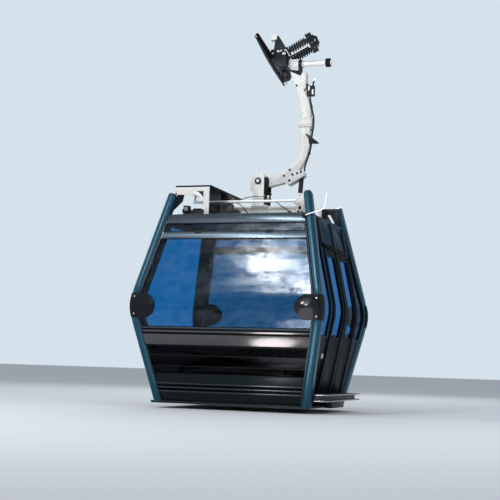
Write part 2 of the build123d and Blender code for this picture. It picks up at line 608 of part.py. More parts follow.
# Brackets at the right: a notched plate by the rear pillar and a small plate on the side's edge
FAR_TOP = PILLAR_TOP - 50
FAR_RUN = 228.0
FAR_T = 14.0
FAR_BACK = 8.0
EDGE_W = 68.0
EDGE_H = 150.0
EDGE_Y = -295.0
eave_x = half_at(HALF_X, EAVE_Z)
eave_out = eave_x - EAVE_IN
far_y = half_at(HALF_Y, FAR_TOP) - PILLAR_Y - FAR_BACK
far_top_x = half_at(HALF_X, FAR_TOP) - 12
far = plate([(eave_out - FAR_RUN, EAVE_Z + 4), (eave_out - FAR_RUN, FAR_TOP), (far_top_x, FAR_TOP),
             (eave_out, EAVE_Z + 4)], (far_y - FAR_T, far_y))
far -= plate([(far_top_x - 149, FAR_TOP - 78), (far_top_x - 111, FAR_TOP - 78), (far_top_x - 51, FAR_TOP - 190),
              (far_top_x - 85, FAR_TOP - 190)], (far_y - 2 * FAR_T, far_y + FAR_T))
save("far_bracket", CABIN_AT, clear_of_pillars(far) - roof_form)
edge_out = eave_out + 18
edge = plate([(edge_out - EDGE_W, EAVE_Z + EDGE_H), (edge_out, EAVE_Z + EDGE_H), (edge_out, EAVE_Z),
              (edge_out - 12, EAVE_Z)], (EDGE_Y - 5, EDGE_Y + 5))
save("edge_bracket", CABIN_AT, edge - roof_form)
TUBE_R = 17.0
TUBE_Y = -200.0
TUBE_DROP = 104.0
tube_z = COVER_Z - TUBE_DROP
tube_end = PIN_OFFSET + EAR_X[0] + 40
roof_tube = bar((DRIVE_X[0] + 4, TUBE_Y, tube_z), (tube_end, TUBE_Y, tube_z), TUBE_R)
roof_tube += block((DRIVE_X[0] + 20, DRIVE_X[0] + 44), (TUBE_Y - 12, TUBE_Y + 12), (tube_z, COVER_Z))
stay_x = (tube_end - 30, tube_end - 6)
roof_tube += block(stay_x, (TUBE_Y, -BEAM_Y), (tube_z - 30, tube_z + 10))
roof_tube += block(stay_x, (-BEAM_Y - 12, -BEAM_Y), (BEAM_Z[0] + 20, tube_z + 10))
save("roof_tube", CABIN_AT, roof_tube)

# Benches along both end walls, with low backrests
SEAT_Z = (455.0, 512.0)
SEAT_DEEP = 440.0
BACK_Z = (700.0, 892.0)
BACK_T = 40.0
seat_zone = tapered(HALF_X, LINING + 4, True) & tapered(HALF_Y, LINING + 2, False)
seat_edge = half_at(HALF_Y, SEAT_Z[0]) - LINING - SEAT_DEEP
seats = seat_zone & (block(ALL, (seat_edge, REACH), SEAT_Z) + block(ALL, (-REACH, -seat_edge), SEAT_Z))
save("benches", CABIN_AT, clear_of_pillars(seats))
backs = tapered(HALF_Y, LINING + 2, False) - tapered(HALF_Y, LINING + 2 + BACK_T, False)
backs &= tapered(HALF_X, LINING + 4, True) & block(ALL, ALL, BACK_Z)
save("backrests", CABIN_AT, clear_of_pillars(backs))

# Two small cables from the terminal box to the crossbeam and the roof, with the sockets they end in
CABLE_R = 5.0
SOCKET = Vector(434, -BEAM_Y - 14, BEAM_Z[0] + 70)
SOCKET_TO = Vector(38, 4, -30).normalized()
GLAND = Vector(-36, -140, ROOF_TOP + 14)
GLAND_TO = Vector(20, 3, -28).normalized()
start_x = JUNCTION_X[1]
beam_cable = [(start_x + x, y, ROOF_TOP + z) for x, y, z in (
    (0, -96, 204), (44, -97, 208), (92, -99, 226), (148, -103, 250), (218, -109, 272), (308, -115, 285),
    (404, -118, 283), (498, -113, 262), (584, -104, 219), (662, -91, 168), (724, -78, 126))] + [tuple(SOCKET)]
roof_cable = [(start_x + x, y, ROOF_TOP + z) for x, y, z in (
    (0, -150, 196), (42, -151, 200), (88, -153, 202), (132, -155, 188), (172, -154, 158), (208, -151, 120),
    (242, -147, 80), (272, -143, 42))] + [tuple(GLAND)]
save("beam_cable", CABIN_AT, cord(beam_cable, CABLE_R))
save("roof_cable", CABIN_AT, cord(roof_cable, CABLE_R))
socket = bar(tuple(SOCKET), tuple(SOCKET + SOCKET_TO * 34), 11)
socket += block((SOCKET.X + 4, SOCKET.X + 30), (-BEAM_Y - 12, -BEAM_Y), (SOCKET.Z - 34, SOCKET.Z - 6))
gland = bar(tuple(GLAND), tuple(GLAND + GLAND_TO * 40), 11)
save("cable_glands", CABIN_AT, socket - beam, gland - roof_form)

# The arm's cable, clipped along its outer edge from the sensor box to the clamp plates
ARM_CABLE_R = 11.0
CABLE_Y = CABLE_BOSS[1]
arm_cable = [(x, CABLE_Y, z) for x, z in (
    (637, BOX_Z[0]), (637, 1026), (655, 956), (671, 872), (690, 798), (692, 735), (689, 668), (678, 606), (670, 540),
    (668, 452), (653, 366), (628, 286), (602, 216), (CABLE_BOSS[0], 162), (CABLE_BOSS[0], 112))]
save("arm_cable", HANGER_AT, cord(arm_cable, ARM_CABLE_R))

# Grip: fixed and moving jaw as sectors of one spindle round the rope, with long entry tongues


def jaw(start, arc):
    """A sector of the spindle round the rope, from an angle over +X."""
    profile = [(ROPE_R, -TONGUE_HALF), (ROPE_R + TONGUE_WALL, -TONGUE_HALF), (ROPE_R + JAW_WALL, -JAW_HALF),
               (ROPE_R + JAW_WALL, JAW_HALF), (ROPE_R + TONGUE_WALL, TONGUE_HALF), (ROPE_R, TONGUE_HALF)]
    face = make_face(Polyline(*[(px, py, 0) for px, py in profile], close=True))
    return Rot(0, -start, 0) * revolve(face, axis=Axis((0, 0, 0), (0, -1, 0)), revolution_arc=arc)


fixed = jaw(-10, 150)
fixed += block((ROPE_R + 10, HOUSING_X[0] + 1), (-JAW_HALF, JAW_HALF), (0, 60))
fixed -= bar((0, -2 * JAW_HALF, 0), (0, 2 * JAW_HALF, 0), ROPE_R + 8)
save("fixed_jaw", GRIP_AT, fixed)
save("moving_jaw", GRIP_AT, jaw(165, 120))

HOUSING = ((0, -70), (62, -118), (134, -172), (194, -186), (194, 34), (150, 66), (0, 74))
LUG = ((108, -130), (194, -130), (194, -200), (178, -228), (150, -240), (124, -226), (108, -194))
LUG_Y = (16.0, 138.0)
FINGER = ((62, -110), (88, -110), (126, -226), (106, -240))
hx = HOUSING_X[0]
housing = plate([(hx + x, z) for x, z in HOUSING], (-HOUSING_HALF, HOUSING_HALF))
housing += plate([(hx + x, z) for x, z in LUG], LUG_Y)
shaft = bar((hx + 50, 0, -SHAFT_DROP), (SHAFT_END, 0, -SHAFT_DROP), SHAFT_R)
roller_out = SHAFT_END + ROLLER_W + 6
shaft += bar((SHAFT_END, 0, -SHAFT_DROP), (roller_out, 0, -SHAFT_DROP), ROLLER_BORE - PIN_FIT)
shaft += bar((roller_out, 0, -SHAFT_DROP), (roller_out + 8, 0, -SHAFT_DROP), ROLLER_BORE + 12)
save("grip_shaft", GRIP_AT, shaft)
housing += plate([(hx + x, z) for x, z in FINGER], (-8, LUG_Y[0]))
save("grip_housing", GRIP_AT, housing - shaft - fixed)
roller_x = SHAFT_END + 3
roller = bar((roller_x, 0, -SHAFT_DROP), (roller_x + ROLLER_W, 0, -SHAFT_DROP), ROLLER_R)
roller -= bar((SHAFT_END, 0, -SHAFT_DROP), (SHAFT_END + 2 * ROLLER_W, 0, -SHAFT_DROP), ROLLER_BORE)
save("outer_roller", GRIP_AT, roller)

# Guide horn on the housing, with its pale slide block
HORN = ((12, 60), (160, 60), (154, 132), (60, 278), (18, 278), (18, 232))
HORN_Y = (-126.0, -74.0)
horn = plate([(hx + x, z) for x, z in HORN], HORN_Y)
save("guide_horn", GRIP_AT, horn - housing)
slide = block((hx - 40, hx + 38), (HORN_Y[0] - 8, HORN_Y[1] + 8), (226, 294))
save("horn_pad", GRIP_AT, slide - horn)

# Two closing springs side by side along the rope, on guide rods, under one crosshead
lean = math.radians(SPRING_ANGLE)
out = Vector(math.cos(lean), 0, math.sin(lean))
low_end = (Align.CENTER, Align.CENTER, Align.MIN)
cup_r = SPRING_R + SPRING_WIRE + 5
coil_rise = SPRING_LEN - 2 * SPRING_WIRE
springs, rods = [], []
for y in (-SPRING_Y, SPRING_Y):
    seat_plane = Plane(origin=Vector(SPRING_FOOT[0], y, SPRING_FOOT[1]), x_dir=(0, 1, 0), z_dir=out)
    coil = Helix(pitch=coil_rise / SPRING_TURNS, height=coil_rise, radius=SPRING_R)
    wire = Plane(origin=coil @ 0, z_dir=coil % 0) * RegularPolygon(SPRING_WIRE, 8)
    springs.append(seat_plane * (Pos(0, 0, SPRING_WIRE) * sweep(wire, path=coil, is_frenet=True)))
    stem = seat_plane * (Pos(0, 0, -20) * Cylinder(GUIDE_R, SPRING_LEN + 20, align=low_end))
    cup = seat_plane * (Pos(0, 0, -30) * Cylinder(cup_r, 28, align=low_end))
    rods.append(stem + cup)
save("jaw_springs", GRIP_AT, *springs)
TIE_R = 11.0
tie = bar((hx + 190, 0, 30), (hx + 430, 0, 164), TIE_R) - housing
head_at = Vector(SPRING_FOOT[0], 0, SPRING_FOOT[1]) + out * (SPRING_LEN + 2)
end_plane = Plane(origin=head_at, x_dir=(0, 1, 0), z_dir=out)
CROSS_W = 72.0
CROSS_T = 78.0
CROSS_HALF = 178.0
LEVER_FROM = 92.0
LEVER_R = 38.0
LEVER_Y = (-62.0, 62.0)
NUT_R = 24.0
crosshead = end_plane * Box(2 * CROSS_HALF, CROSS_W, CROSS_T, align=low_end)
for y in (-SPRING_Y, SPRING_Y):
    crosshead += end_plane * (Pos(y, 0, CROSS_T - 1) * Cylinder(NUT_R, NUT_R, align=low_end))
lever_at = head_at + out * LEVER_FROM
crosshead += bar((lever_at.X, LEVER_Y[0], lever_at.Z), (lever_at.X, LEVER_Y[1], lever_at.Z), LEVER_R)
save("spring_crosshead", GRIP_AT, crosshead)
save("spring_guides", GRIP_AT, *[rod - crosshead for rod in rods], tie - crosshead)
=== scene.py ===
import json
import math

import bpy
from mathutils import Matrix, Vector

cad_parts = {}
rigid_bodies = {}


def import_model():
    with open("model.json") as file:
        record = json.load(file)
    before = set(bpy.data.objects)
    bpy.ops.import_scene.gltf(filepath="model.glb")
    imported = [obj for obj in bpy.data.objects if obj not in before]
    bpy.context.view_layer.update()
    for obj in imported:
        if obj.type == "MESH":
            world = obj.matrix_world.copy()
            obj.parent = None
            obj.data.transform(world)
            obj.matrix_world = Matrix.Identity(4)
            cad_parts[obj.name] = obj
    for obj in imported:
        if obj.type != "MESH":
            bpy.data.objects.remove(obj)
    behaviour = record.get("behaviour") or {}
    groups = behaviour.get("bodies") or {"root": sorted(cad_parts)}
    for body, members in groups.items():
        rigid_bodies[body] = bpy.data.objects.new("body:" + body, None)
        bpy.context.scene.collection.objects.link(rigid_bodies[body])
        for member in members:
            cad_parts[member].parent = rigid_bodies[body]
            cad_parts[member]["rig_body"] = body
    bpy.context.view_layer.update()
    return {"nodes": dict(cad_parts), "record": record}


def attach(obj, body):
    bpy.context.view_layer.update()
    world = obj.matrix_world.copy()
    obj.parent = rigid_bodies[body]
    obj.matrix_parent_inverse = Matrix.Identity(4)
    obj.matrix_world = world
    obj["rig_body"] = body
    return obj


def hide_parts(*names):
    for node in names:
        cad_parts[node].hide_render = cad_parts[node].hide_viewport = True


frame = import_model()

# The cabin is seen from below its waist and a little from the door side, from far off with a long lens.
# CABIN is the middle of its underside, in the frame's metres, and the angles are in radians.
CABIN = Vector((-0.120, -0.02003, -4.35445))
CAMERA_FROM_CABIN = Vector((4.529, -13.340, 0.4734))
YAW, PITCH, ROLL = -0.333, 0.1022, 0.0309
FOCAL_PIXELS = 1126.94
PICTURE_PIXELS = 500
SENSOR = 36.0
camera_data = bpy.data.cameras.new("camera")
camera = bpy.data.objects.new("camera", camera_data)
bpy.context.scene.collection.objects.link(camera)
bpy.context.scene.camera = camera
forward = Vector((math.sin(YAW) * math.cos(PITCH), math.cos(YAW) * math.cos(PITCH), math.sin(PITCH)))
level = Vector((math.cos(YAW), -math.sin(YAW), 0))
rolled = Matrix.Rotation(-ROLL, 3, forward)
right, upward = rolled @ level, rolled @ level.cross(forward)
camera.matrix_world = Matrix.Translation(CABIN + CAMERA_FROM_CABIN) @ Matrix(
    (right, upward, -forward)).transposed().to_4x4()
camera_data.sensor_width = SENSOR
camera_data.lens = FOCAL_PIXELS / PICTURE_PIXELS * SENSOR
camera_data.clip_end = 500

# Three black cables run in the open: two from the terminal box over the roof, to the crossbeam and to a
# gland in the roof skin, and one down the outside of the hanger's arm. Each is a rubber sheath over copper.
# Their routes are given from the cabin's underside, or from the pivot pin on the roof.
PIVOT = Vector((-0.100, -0.02003, -1.56945))


def from_cabin(x, y, z):
    """A place given from the middle of the cabin's underside."""
    return CABIN + Vector((x, y, z))


def from_pivot(x, y, z):
    """A place given from the pivot pin on the roof."""
    return PIVOT + Vector((x, y, z))


def paint(piece, *materials):
    """Give a piece or a CAD node its materials."""
    piece.data.materials.clear()
    for material in materials:
        piece.data.materials.append(material)


def place_piece(piece, body, slot, *materials):
    """Put a finished piece on its body with its materials; the slot is not used."""
    paint(piece, *materials)
    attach(piece, body)
    return piece


def math_node(tree, operation, first, second, clamp=False):
    """A Math node whose inputs are sockets or numbers."""
    node = tree.nodes.new("ShaderNodeMath")
    node.operation = operation
    node.use_clamp = clamp
    for socket, value in zip(node.inputs, (first, second)):
        if isinstance(value, (int, float)):
            socket.default_value = value
        else:
            tree.links.new(value, socket)
    return node.outputs[0]


def mix_colours(tree, factor, first, second):
    """A colour Mix node whose inputs are sockets or values."""
    node = tree.nodes.new("ShaderNodeMix")
    node.data_type = "RGBA"
    for label, value in (("Factor", factor), ("A", first), ("B", second)):
        kind = "VALUE" if label == "Factor" else "RGBA"
        socket = [s for s in node.inputs if s.name == label and s.type == kind][0]
        if isinstance(value, (int, float, tuple)):
            socket.default_value = value
        else:
            tree.links.new(value, socket)
    return [s for s in node.outputs if s.type == "RGBA"][0]


def noise(tree, scale, detail, rough, vector):
    """A noise texture's factor at a scale that is a socket or a number."""
    node = tree.nodes.new("ShaderNodeTexNoise")
    node.inputs["Detail"].default_value = detail
    node.inputs["Roughness"].default_value = rough
    tree.links.new(vector, node.inputs["Vector"])
    if isinstance(scale, (int, float)):
        node.inputs["Scale"].default_value = scale
    else:
        tree.links.new(scale, node.inputs["Scale"])
    return node.outputs[0]


worn = bpy.data.node_groups.new("worn finish", "ShaderNodeTree")
for label, value in (("Mottle", 0.2), ("Mottle Scale", 4.0), ("Dust", 0.1), ("Dust Scale", 3.0),
                     ("Roughness", 0.4), ("Roughness Spread", 0.1), ("Grain Scale", 200.0)):
    socket = worn.interface.new_socket(label, in_out="INPUT", socket_type="NodeSocketFloat")
    socket.default_value = value
for label in ("Colour", "Dust Colour"):
    worn.interface.new_socket(label, in_out="INPUT", socket_type="NodeSocketColor")
worn.interface.new_socket("Colour", in_out="OUTPUT", socket_type="NodeSocketColor")
for label in ("Roughness", "Height"):
    worn.interface.new_socket(label, in_out="OUTPUT", socket_type="NodeSocketFloat")
worn_in = worn.nodes.new("NodeGroupInput").outputs
worn_out = worn.nodes.new("NodeGroupOutput").inputs
place = worn.nodes.new("ShaderNodeTexCoord").outputs["Object"]
patches = noise(worn, worn_in["Mottle Scale"], 5, 0.6, place)
settled = noise(worn, worn_in["Dust Scale"], 8, 0.75, place)
grains = noise(worn, worn_in["Grain Scale"], 3, 0.6, place)
shade = math_node(worn, "MULTIPLY_ADD", patches, worn_in["Mottle"])
dark_side = math_node(worn, "SUBTRACT", 1.0, worn_in["Mottle"])
worn.links.new(dark_side, shade.node.inputs[2])
tone = worn.nodes.new("ShaderNodeVectorMath")
tone.operation = "SCALE"
worn.links.new(worn_in["Colour"], tone.inputs[0])
worn.links.new(math_node(worn, "MULTIPLY_ADD", shade, 1.0), tone.inputs["Scale"])
spots = math_node(worn, "MULTIPLY", math_node(worn, "SUBTRACT", settled, 0.5, True), 3.0, True)
dusty = math_node(worn, "MULTIPLY", spots, worn_in["Dust"], True)
dusted = mix_colours(worn, dusty, tone.outputs[0], worn_in["Dust Colour"])
uneven = math_node(worn, "SUBTRACT", patches, 0.5)
spread = math_node(worn, "MULTIPLY", uneven, worn_in["Roughness Spread"])
rough_sum = math_node(worn, "ADD", math_node(worn, "ADD", worn_in["Roughness"], spread), dusty, True)
worn.links.new(dusted, worn_out["Colour"])
worn.links.new(rough_sum, worn_out["Roughness"])
worn.links.new(grains, worn_out["Height"])


def finish(name, colour, rough, metal=0.0, mottle=0.2, mottle_scale=4.0, dust=0.1, dust_scale=6.0,
           spread=0.12, grain=250.0, bump=0.0004, coat=0.0, dust_colour=(0.25, 0.25, 0.24), specular=0.5,
           coat_rough=0.06):
    """A material for one finish of the object, with the worn finish group's values for it."""
    material = bpy.data.materials.new(name)
    material.use_nodes = True
    tree = material.node_tree
    shader = tree.nodes["Principled BSDF"]
    shader.inputs["Metallic"].default_value = metal
    shader.inputs["Coat Weight"].default_value = coat
    shader.inputs["Coat Roughness"].default_value = coat_rough
    shader.inputs["Specular IOR Level"].default_value = specular
    worn_node = tree.nodes.new("ShaderNodeGroup")
    worn_node.node_tree = worn
    values = {"Colour": (*colour, 1), "Dust Colour": (*dust_colour, 1), "Mottle": mottle,
              "Mottle Scale": mottle_scale, "Dust": dust, "Dust Scale": dust_scale, "Roughness": rough,
              "Roughness Spread": spread, "Grain Scale": grain}
    for label, value in values.items():
        worn_node.inputs[label].default_value = value
    raised = tree.nodes.new("ShaderNodeBump")
    raised.inputs["Distance"].default_value = bump
    tree.links.new(worn_node.outputs["Colour"], shader.inputs["Base Color"])
    tree.links.new(worn_node.outputs["Roughness"], shader.inputs["Roughness"])
    tree.links.new(worn_node.outputs["Height"], raised.inputs["Height"])
    tree.links.new(raised.outputs["Normal"], shader.inputs["Normal"])
    return material


black_sheath = finish("black cable sheath", (0.008, 0.008, 0.009), 0.45, mottle=0.3, mottle_scale=30,
                      dust=0.2, dust_scale=40, grain=900, bump=0.0002, dust_colour=(0.06, 0.06, 0.06),
                      specular=0.25)


def round_bar(name, points, radius, smooth=True, steps=12, rounding=2):
    """A round bar along a row of points: one smooth open line, or a closed ring of straight runs."""
    curve = bpy.data.curves.new(name, "CURVE")
    curve.dimensions = "3D"
    curve.resolution_u = steps
    curve.bevel_depth = radius
    curve.bevel_resolution = rounding
    curve.use_fill_caps = smooth
    spline = curve.splines.new("NURBS" if smooth else "POLY")
    spline.points.add(len(points) - 1)
    for point, position in zip(spline.points, points):
        point.co = (*position, 1)
    if smooth:
        spline.order_u = 3
        spline.use_endpoint_u = True
    else:
        spline.use_cyclic_u = True
    piece = bpy.data.objects.new(name, curve)
    bpy.context.scene.collection.objects.link(piece)
    return piece


def cable(name, points, diameter, body, node):
    """A cable on one smooth line along its route, from where it leaves to where it goes back in."""
    piece = round_bar(name, points, diameter / 2, steps=6, rounding=3)
    place_piece(piece, body, "black_rubber", black_sheath)
    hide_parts(node)


BEAM_CABLE = ((-0.328, -0.096, 2.504), (-0.284, -0.097, 2.508), (-0.236, -0.099, 2.526),
              (-0.180, -0.103, 2.550), (-0.110, -0.109, 2.572), (-0.020, -0.115, 2.585),
              (0.076, -0.118, 2.583), (0.170, -0.113, 2.562), (0.256, -0.104, 2.519),
              (0.334, -0.091, 2.468), (0.396, -0.078, 2.426), (0.434, -0.072, 2.396))
ROOF_CABLE = ((-0.328, -0.150, 2.496), (-0.286, -0.151, 2.500), (-0.240, -0.153, 2.502),
              (-0.196, -0.155, 2.488), (-0.156, -0.154, 2.458), (-0.120, -0.151, 2.420),
              (-0.086, -0.147, 2.380), (-0.056, -0.143, 2.342), (-0.036, -0.140, 2.314))
ARM_CABLE = ((0.637, -0.020, 1.076), (0.637, -0.020, 1.026), (0.655, -0.020, 0.956), (0.671, -0.020, 0.872),
             (0.690, -0.020, 0.798), (0.692, -0.020, 0.735), (0.689, -0.020, 0.668), (0.678, -0.020, 0.606),
             (0.670, -0.020, 0.540), (0.668, -0.020, 0.452), (0.653, -0.020, 0.366), (0.628, -0.020, 0.286),
             (0.602, -0.020, 0.216), (0.588, -0.020, 0.162), (0.588, -0.020, 0.112))
cable("beam_lead", [from_cabin(*p) for p in BEAM_CABLE], 0.010, "cabin", "beam_cable")
cable("roof_lead", [from_cabin(*p) for p in ROOF_CABLE], 0.010, "cabin", "roof_cable")
cable("arm_lead", [from_pivot(*p) for p in ARM_CABLE], 0.022, "hanger", "arm_cable")

# A plain pale floor lies just under the hung cabin, in a pale world. Broad lamps stand high at the left, at
# the right and behind. Three high in front make the glare on the end window: one small and hot, one thin and
# one broad and weak. One more lights the right bumper, and one just over the floor lights the rails.
FLOOR_DROP = 0.06
PALE = (0.78, 0.81, 0.84, 1)
BACKGROUND = (0.70, 0.80, 0.88, 1)


def deselect():
    """Nothing stays selected, because an operator acts on all that is."""
    for item in bpy.context.selected_objects:
        item.select_set(False)


def settle():
    """Write the active piece's place, turn and size into its mesh."""
    bpy.ops.object.transform_apply(location=True, rotation=True, scale=True)
    return bpy.context.active_object


deselect()
bpy.ops.mesh.primitive_plane_add(size=160, location=(0, 0, CABIN.z - FLOOR_DROP))
floor = settle()
floor.name = "studio_floor"
floor_look = bpy.data.materials.new("pale floor")
floor_look.use_nodes = True
floor_look.node_tree.nodes["Principled BSDF"].inputs["Base Color"].default_value = PALE
floor_look.node_tree.nodes["Principled BSDF"].inputs["Roughness"].default_value = 0.9
paint(floor, floor_look)

world = bpy.data.worlds.new("pale studio")
bpy.context.scene.world = world
world.use_nodes = True
tree = world.node_tree
plain = tree.nodes["Background"]
plain.inputs["Color"].default_value = (0.80, 0.86, 0.92, 1)
plain.inputs["Strength"].default_value = 0.50
seen = tree.nodes.new("ShaderNodeBackground")
seen.inputs["Color"].default_value = BACKGROUND
seen.inputs["Strength"].default_value = 0.95
path = tree.nodes.new("ShaderNodeLightPath")
any_seen = math_node(tree, "MAXIMUM", path.outputs["Is Camera Ray"], path.outputs["Is Transmission Ray"])
blend = tree.nodes.new("ShaderNodeMixShader")
tree.links.new(any_seen, blend.inputs[0])
tree.links.new(plain.outputs[0], blend.inputs[1])
tree.links.new(seen.outputs[0], blend.inputs[2])
tree.links.new(blend.outputs[0], tree.nodes["World Output"].inputs["Surface"])


def lamp(name, position, target, size, power, colour=(1, 1, 1)):
    """A round-edged area lamp turned to a place on the object."""
    data = bpy.data.lights.new(name, "AREA")
    data.shape = "ELLIPSE"
    data.size, data.size_y = size
    data.energy = power
    data.color = colour
    item = bpy.data.objects.new(name, data)
    bpy.context.scene.collection.objects.link(item)
    item.location = position
    item.rotation_euler = (Vector(target) - Vector(position)).to_track_quat("-Z", "Y").to_euler()
    return item


MIDDLE = from_cabin(0, 0, 1.6)
lamp("left_lamp", MIDDLE + Vector((-9.0, -3.6, 4.6)), MIDDLE, (4.5, 5.0), 190)
lamp("right_lamp", MIDDLE + Vector((8.0, -4.0, 3.0)), MIDDLE, (3.0, 5.0), 135)
lamp("back_lamp", MIDDLE + Vector((-2.0, 9.0, 5.0)), MIDDLE, (6.0, 4.0), 240)
GLARE = from_cabin(0.50, -1.04, 1.53)
GLARE_WAY = Vector((-0.325, -0.729, 0.604))
GLARE_LAMP = GLARE + 9.0 * GLARE_WAY
lamp("sun_lamp", GLARE_LAMP, GLARE, (0.30, 0.22), 90)
lamp("streak_lamp", GLARE_LAMP + Vector((0.6, 0, 0)), GLARE, (1.8, 0.18), 28)
lamp("veil_lamp", GLARE + 9.2 * GLARE_WAY + Vector((0.9, 0, 0.35)), GLARE, (1.6, 1.2), 36, (0.85, 0.93, 1))
BUMPER = from_cabin(0.98, -1.19, 1.22)
lamp("edge_lamp", BUMPER + 9.0 * Vector((-0.28, -0.768, 0.576)), BUMPER, (0.5, 0.4), 130)
LOW = from_cabin(0.44, -2.30, -0.045)
low_lamp = lamp("low_lamp", LOW, LOW + Vector((0, 0, 1)), (0.8, 2.0), 34, (1, 0.95, 0.93))
low_lamp.visible_camera = False
bpy.context.scene.view_settings.view_transform = "Standard"

# Four round-cornered aluminium pillars, bent at the waist, carry the whole cabin. They are painted a deep
# sea green with a clear coat. A dark strip is clipped along each inner edge, and a black sleeve wraps the
# bend behind the bumper, held by three dome bolts.
nodes = frame["nodes"]
HALF_X = (0.965, 1.200, 0.900)
HALF_Y = (0.815, 1.180, 0.755)
WAIST = 1.148
PILLAR_TOP = 2.562
BEND = 0.600
PILLAR_X, PILLAR_Y = 0.098, 0.150
ENDS = (-1, 1)
CORNERS = [(x, y) for y in ENDS for x in ENDS]


def wall_half(halves, z):
    """Half the body's width at a height, on its rounded outline."""
    low, mid, top = halves
    under = math.atan2(mid - low, WAIST)
    over = math.atan2(mid - top, PILLAR_TOP - WAIST)
    reach = BEND * math.tan((under + over) / 2)
    start, stop = WAIST - reach * math.cos(under), WAIST + reach * math.cos(over)
    if z <= start:
        return low + (mid - low) * z / WAIST
    if z >= stop:
        return mid + (top - mid) * (z - WAIST) / (PILLAR_TOP - WAIST)
    centre_out = mid - reach * math.sin(under) - BEND * math.cos(under)
    centre_up = start + BEND * math.sin(under)
    return centre_out + math.sqrt(BEND ** 2 - (z - centre_up) ** 2)


def make_active(piece):
    """Select one piece alone and make it the active one."""
    deselect()
    piece.select_set(True)
    bpy.context.view_layer.objects.active = piece


def start_edit(piece):
    """Open one piece for editing, with all of it selected."""
    make_active(piece)
    bpy.ops.object.mode_set(mode="EDIT")
    bpy.ops.mesh.select_all(action="SELECT")


def soften(piece, width, segments=2, angle=35):
    """Round a piece's sharp edges and shade it smooth across small angles."""
    make_active(piece)
    if width:
        bevel = piece.modifiers.new("edges", "BEVEL")
        bevel.width = width
        bevel.segments = segments
        bevel.limit_method = "ANGLE"
        bevel.angle_limit = math.radians(angle)
        bevel.miter_outer = "MITER_ARC"
        bpy.ops.object.modifier_apply(modifier=bevel.name)
    bpy.ops.object.shade_smooth_by_angle(angle=math.radians(angle))
    return piece


def join(name, pieces):
    """Several meshes as one piece of that name."""
    make_active(pieces[0])
    for item in pieces:
        item.select_set(True)
    if len(pieces) > 1:
        bpy.ops.object.join()
    piece = bpy.context.view_layer.objects.active
    piece.name = name
    piece.data.name = name
    return piece


def block(low, high, cuts=()):
    """A box from one corner to the other, with level cuts where it is to bend."""
    deselect()
    bpy.ops.mesh.primitive_cube_add(size=1, location=(Vector(low) + Vector(high)) / 2)
    bpy.context.active_object.scale = Vector(high) - Vector(low)
    piece = settle()
    if cuts:
        start_edit(piece)
        for z in cuts:
            bpy.ops.mesh.select_all(action="SELECT")
            bpy.ops.mesh.bisect(plane_co=(0, 0, z), plane_no=(0, 0, 1))
        bpy.ops.object.mode_set(mode="OBJECT")
    return piece


def cylinder(radius, depth, middle, turn, sides):
    """A cylinder about its middle, turned from upright."""
    deselect()
    bpy.ops.mesh.primitive_cylinder_add(vertices=sides, radius=radius, depth=depth, location=middle,
                                        rotation=turn)
    return settle()


def bend_cuts(low, high):
    """Heights at which a strip is cut so that it follows the waist."""
    inner = [WAIST - 0.20 + 0.04 * step for step in range(11)]
    return [z for z in inner if low + 0.002 < z < high - 0.002]


def fit_to_cabin(piece, place):
    """Move a piece drawn flat onto the body: place takes across, depth and height."""
    for vertex in piece.data.vertices:
        vertex.co = from_cabin(*place(*vertex.co))
    start_edit(piece)
    bpy.ops.mesh.remove_doubles(threshold=0.00001)
    bpy.ops.mesh.normals_make_consistent(inside=False)
    bpy.ops.object.mode_set(mode="OBJECT")
    return piece


def by_corner(x, y):
    """Places by one pillar, given across and in from the body's outline, and up."""
    return lambda across, depth, z: (
        x * (wall_half(HALF_X, z) - across), y * (wall_half(HALF_Y, z) - depth), z)


def end_strip(across, depth, z, x, y):
    """A strip up an end wall beside a pillar; across and depth run in from the body's outline."""
    piece = block((across[0], depth[0], z[0]), (across[1], depth[1], z[1]), bend_cuts(*z))
    return fit_to_cabin(piece, by_corner(x, y))


def bolt(place, normal, radius, height=None, sides=6):
    """A bolt head on its washer, or a dome where it has more sides."""
    height = height or radius * 0.9
    turn = Vector(normal).normalized().to_track_quat("Z", "Y")
    washer = (radius * 1.45, -0.3 * height, 0.22 * height, 20)
    head = (radius, 0.1 * height, height, sides)
    parts = []
    for size, low, high, count in (washer, head):
        middle = Vector(place) + turn @ Vector((0, 0, (low + high) / 2))
        parts.append(cylinder(size, high - low, middle, turn.to_euler(), count))
    return parts


def bolts(name, places, body, slot, material):
    """A set of bolts on one body: each place is a point, its normal and the head's radius."""
    parts = []
    for item in places:
        parts += bolt(*item)
    piece = soften(join(name, parts), min(item[2] for item in places) * 0.16, 2, 40)
    place_piece(piece, body, slot, material)


teal = finish("sea green paint", (0.008, 0.046, 0.076), 0.26, metal=0.2, mottle=0.15, mottle_scale=2.5,
              dust=0.06, dust_scale=5, coat=0.07, grain=600, bump=0.00006, dust_colour=(0.06, 0.11, 0.15),
              specular=0.15, coat_rough=0.12)
black_rubber = finish("black rubber", (0.007, 0.008, 0.009), 0.5, mottle=0.35, mottle_scale=18, dust=0.2,
                      dust_scale=20, grain=1200, bump=0.0003, dust_colour=(0.04, 0.04, 0.04), specular=0.12)
dark_trim = finish("dark clip strip", (0.03, 0.04, 0.048), 0.34, metal=0.5, mottle=0.15, mottle_scale=6,
                   dust=0.2, dust_scale=12, grain=500, bump=0.0001, dust_colour=(0.06, 0.07, 0.08),
                   specular=0.3)
bare_steel = finish("turned bare steel", (0.58, 0.58, 0.58), 0.25, metal=1.0, mottle=0.2, mottle_scale=20,
                    dust=0.3, dust_scale=40, grain=600, bump=0.0002, dust_colour=(0.10, 0.09, 0.08))
paint(nodes["corner_pillars"], teal)
STRIP_ACROSS = (PILLAR_X - 0.004, PILLAR_X + 0.006)
STRIP_DEPTH = (0.008, 0.030)
STRIP_Z = (0.03, 2.225)
strips = [end_strip(STRIP_ACROSS, STRIP_DEPTH, STRIP_Z, x, y) for x, y in CORNERS]
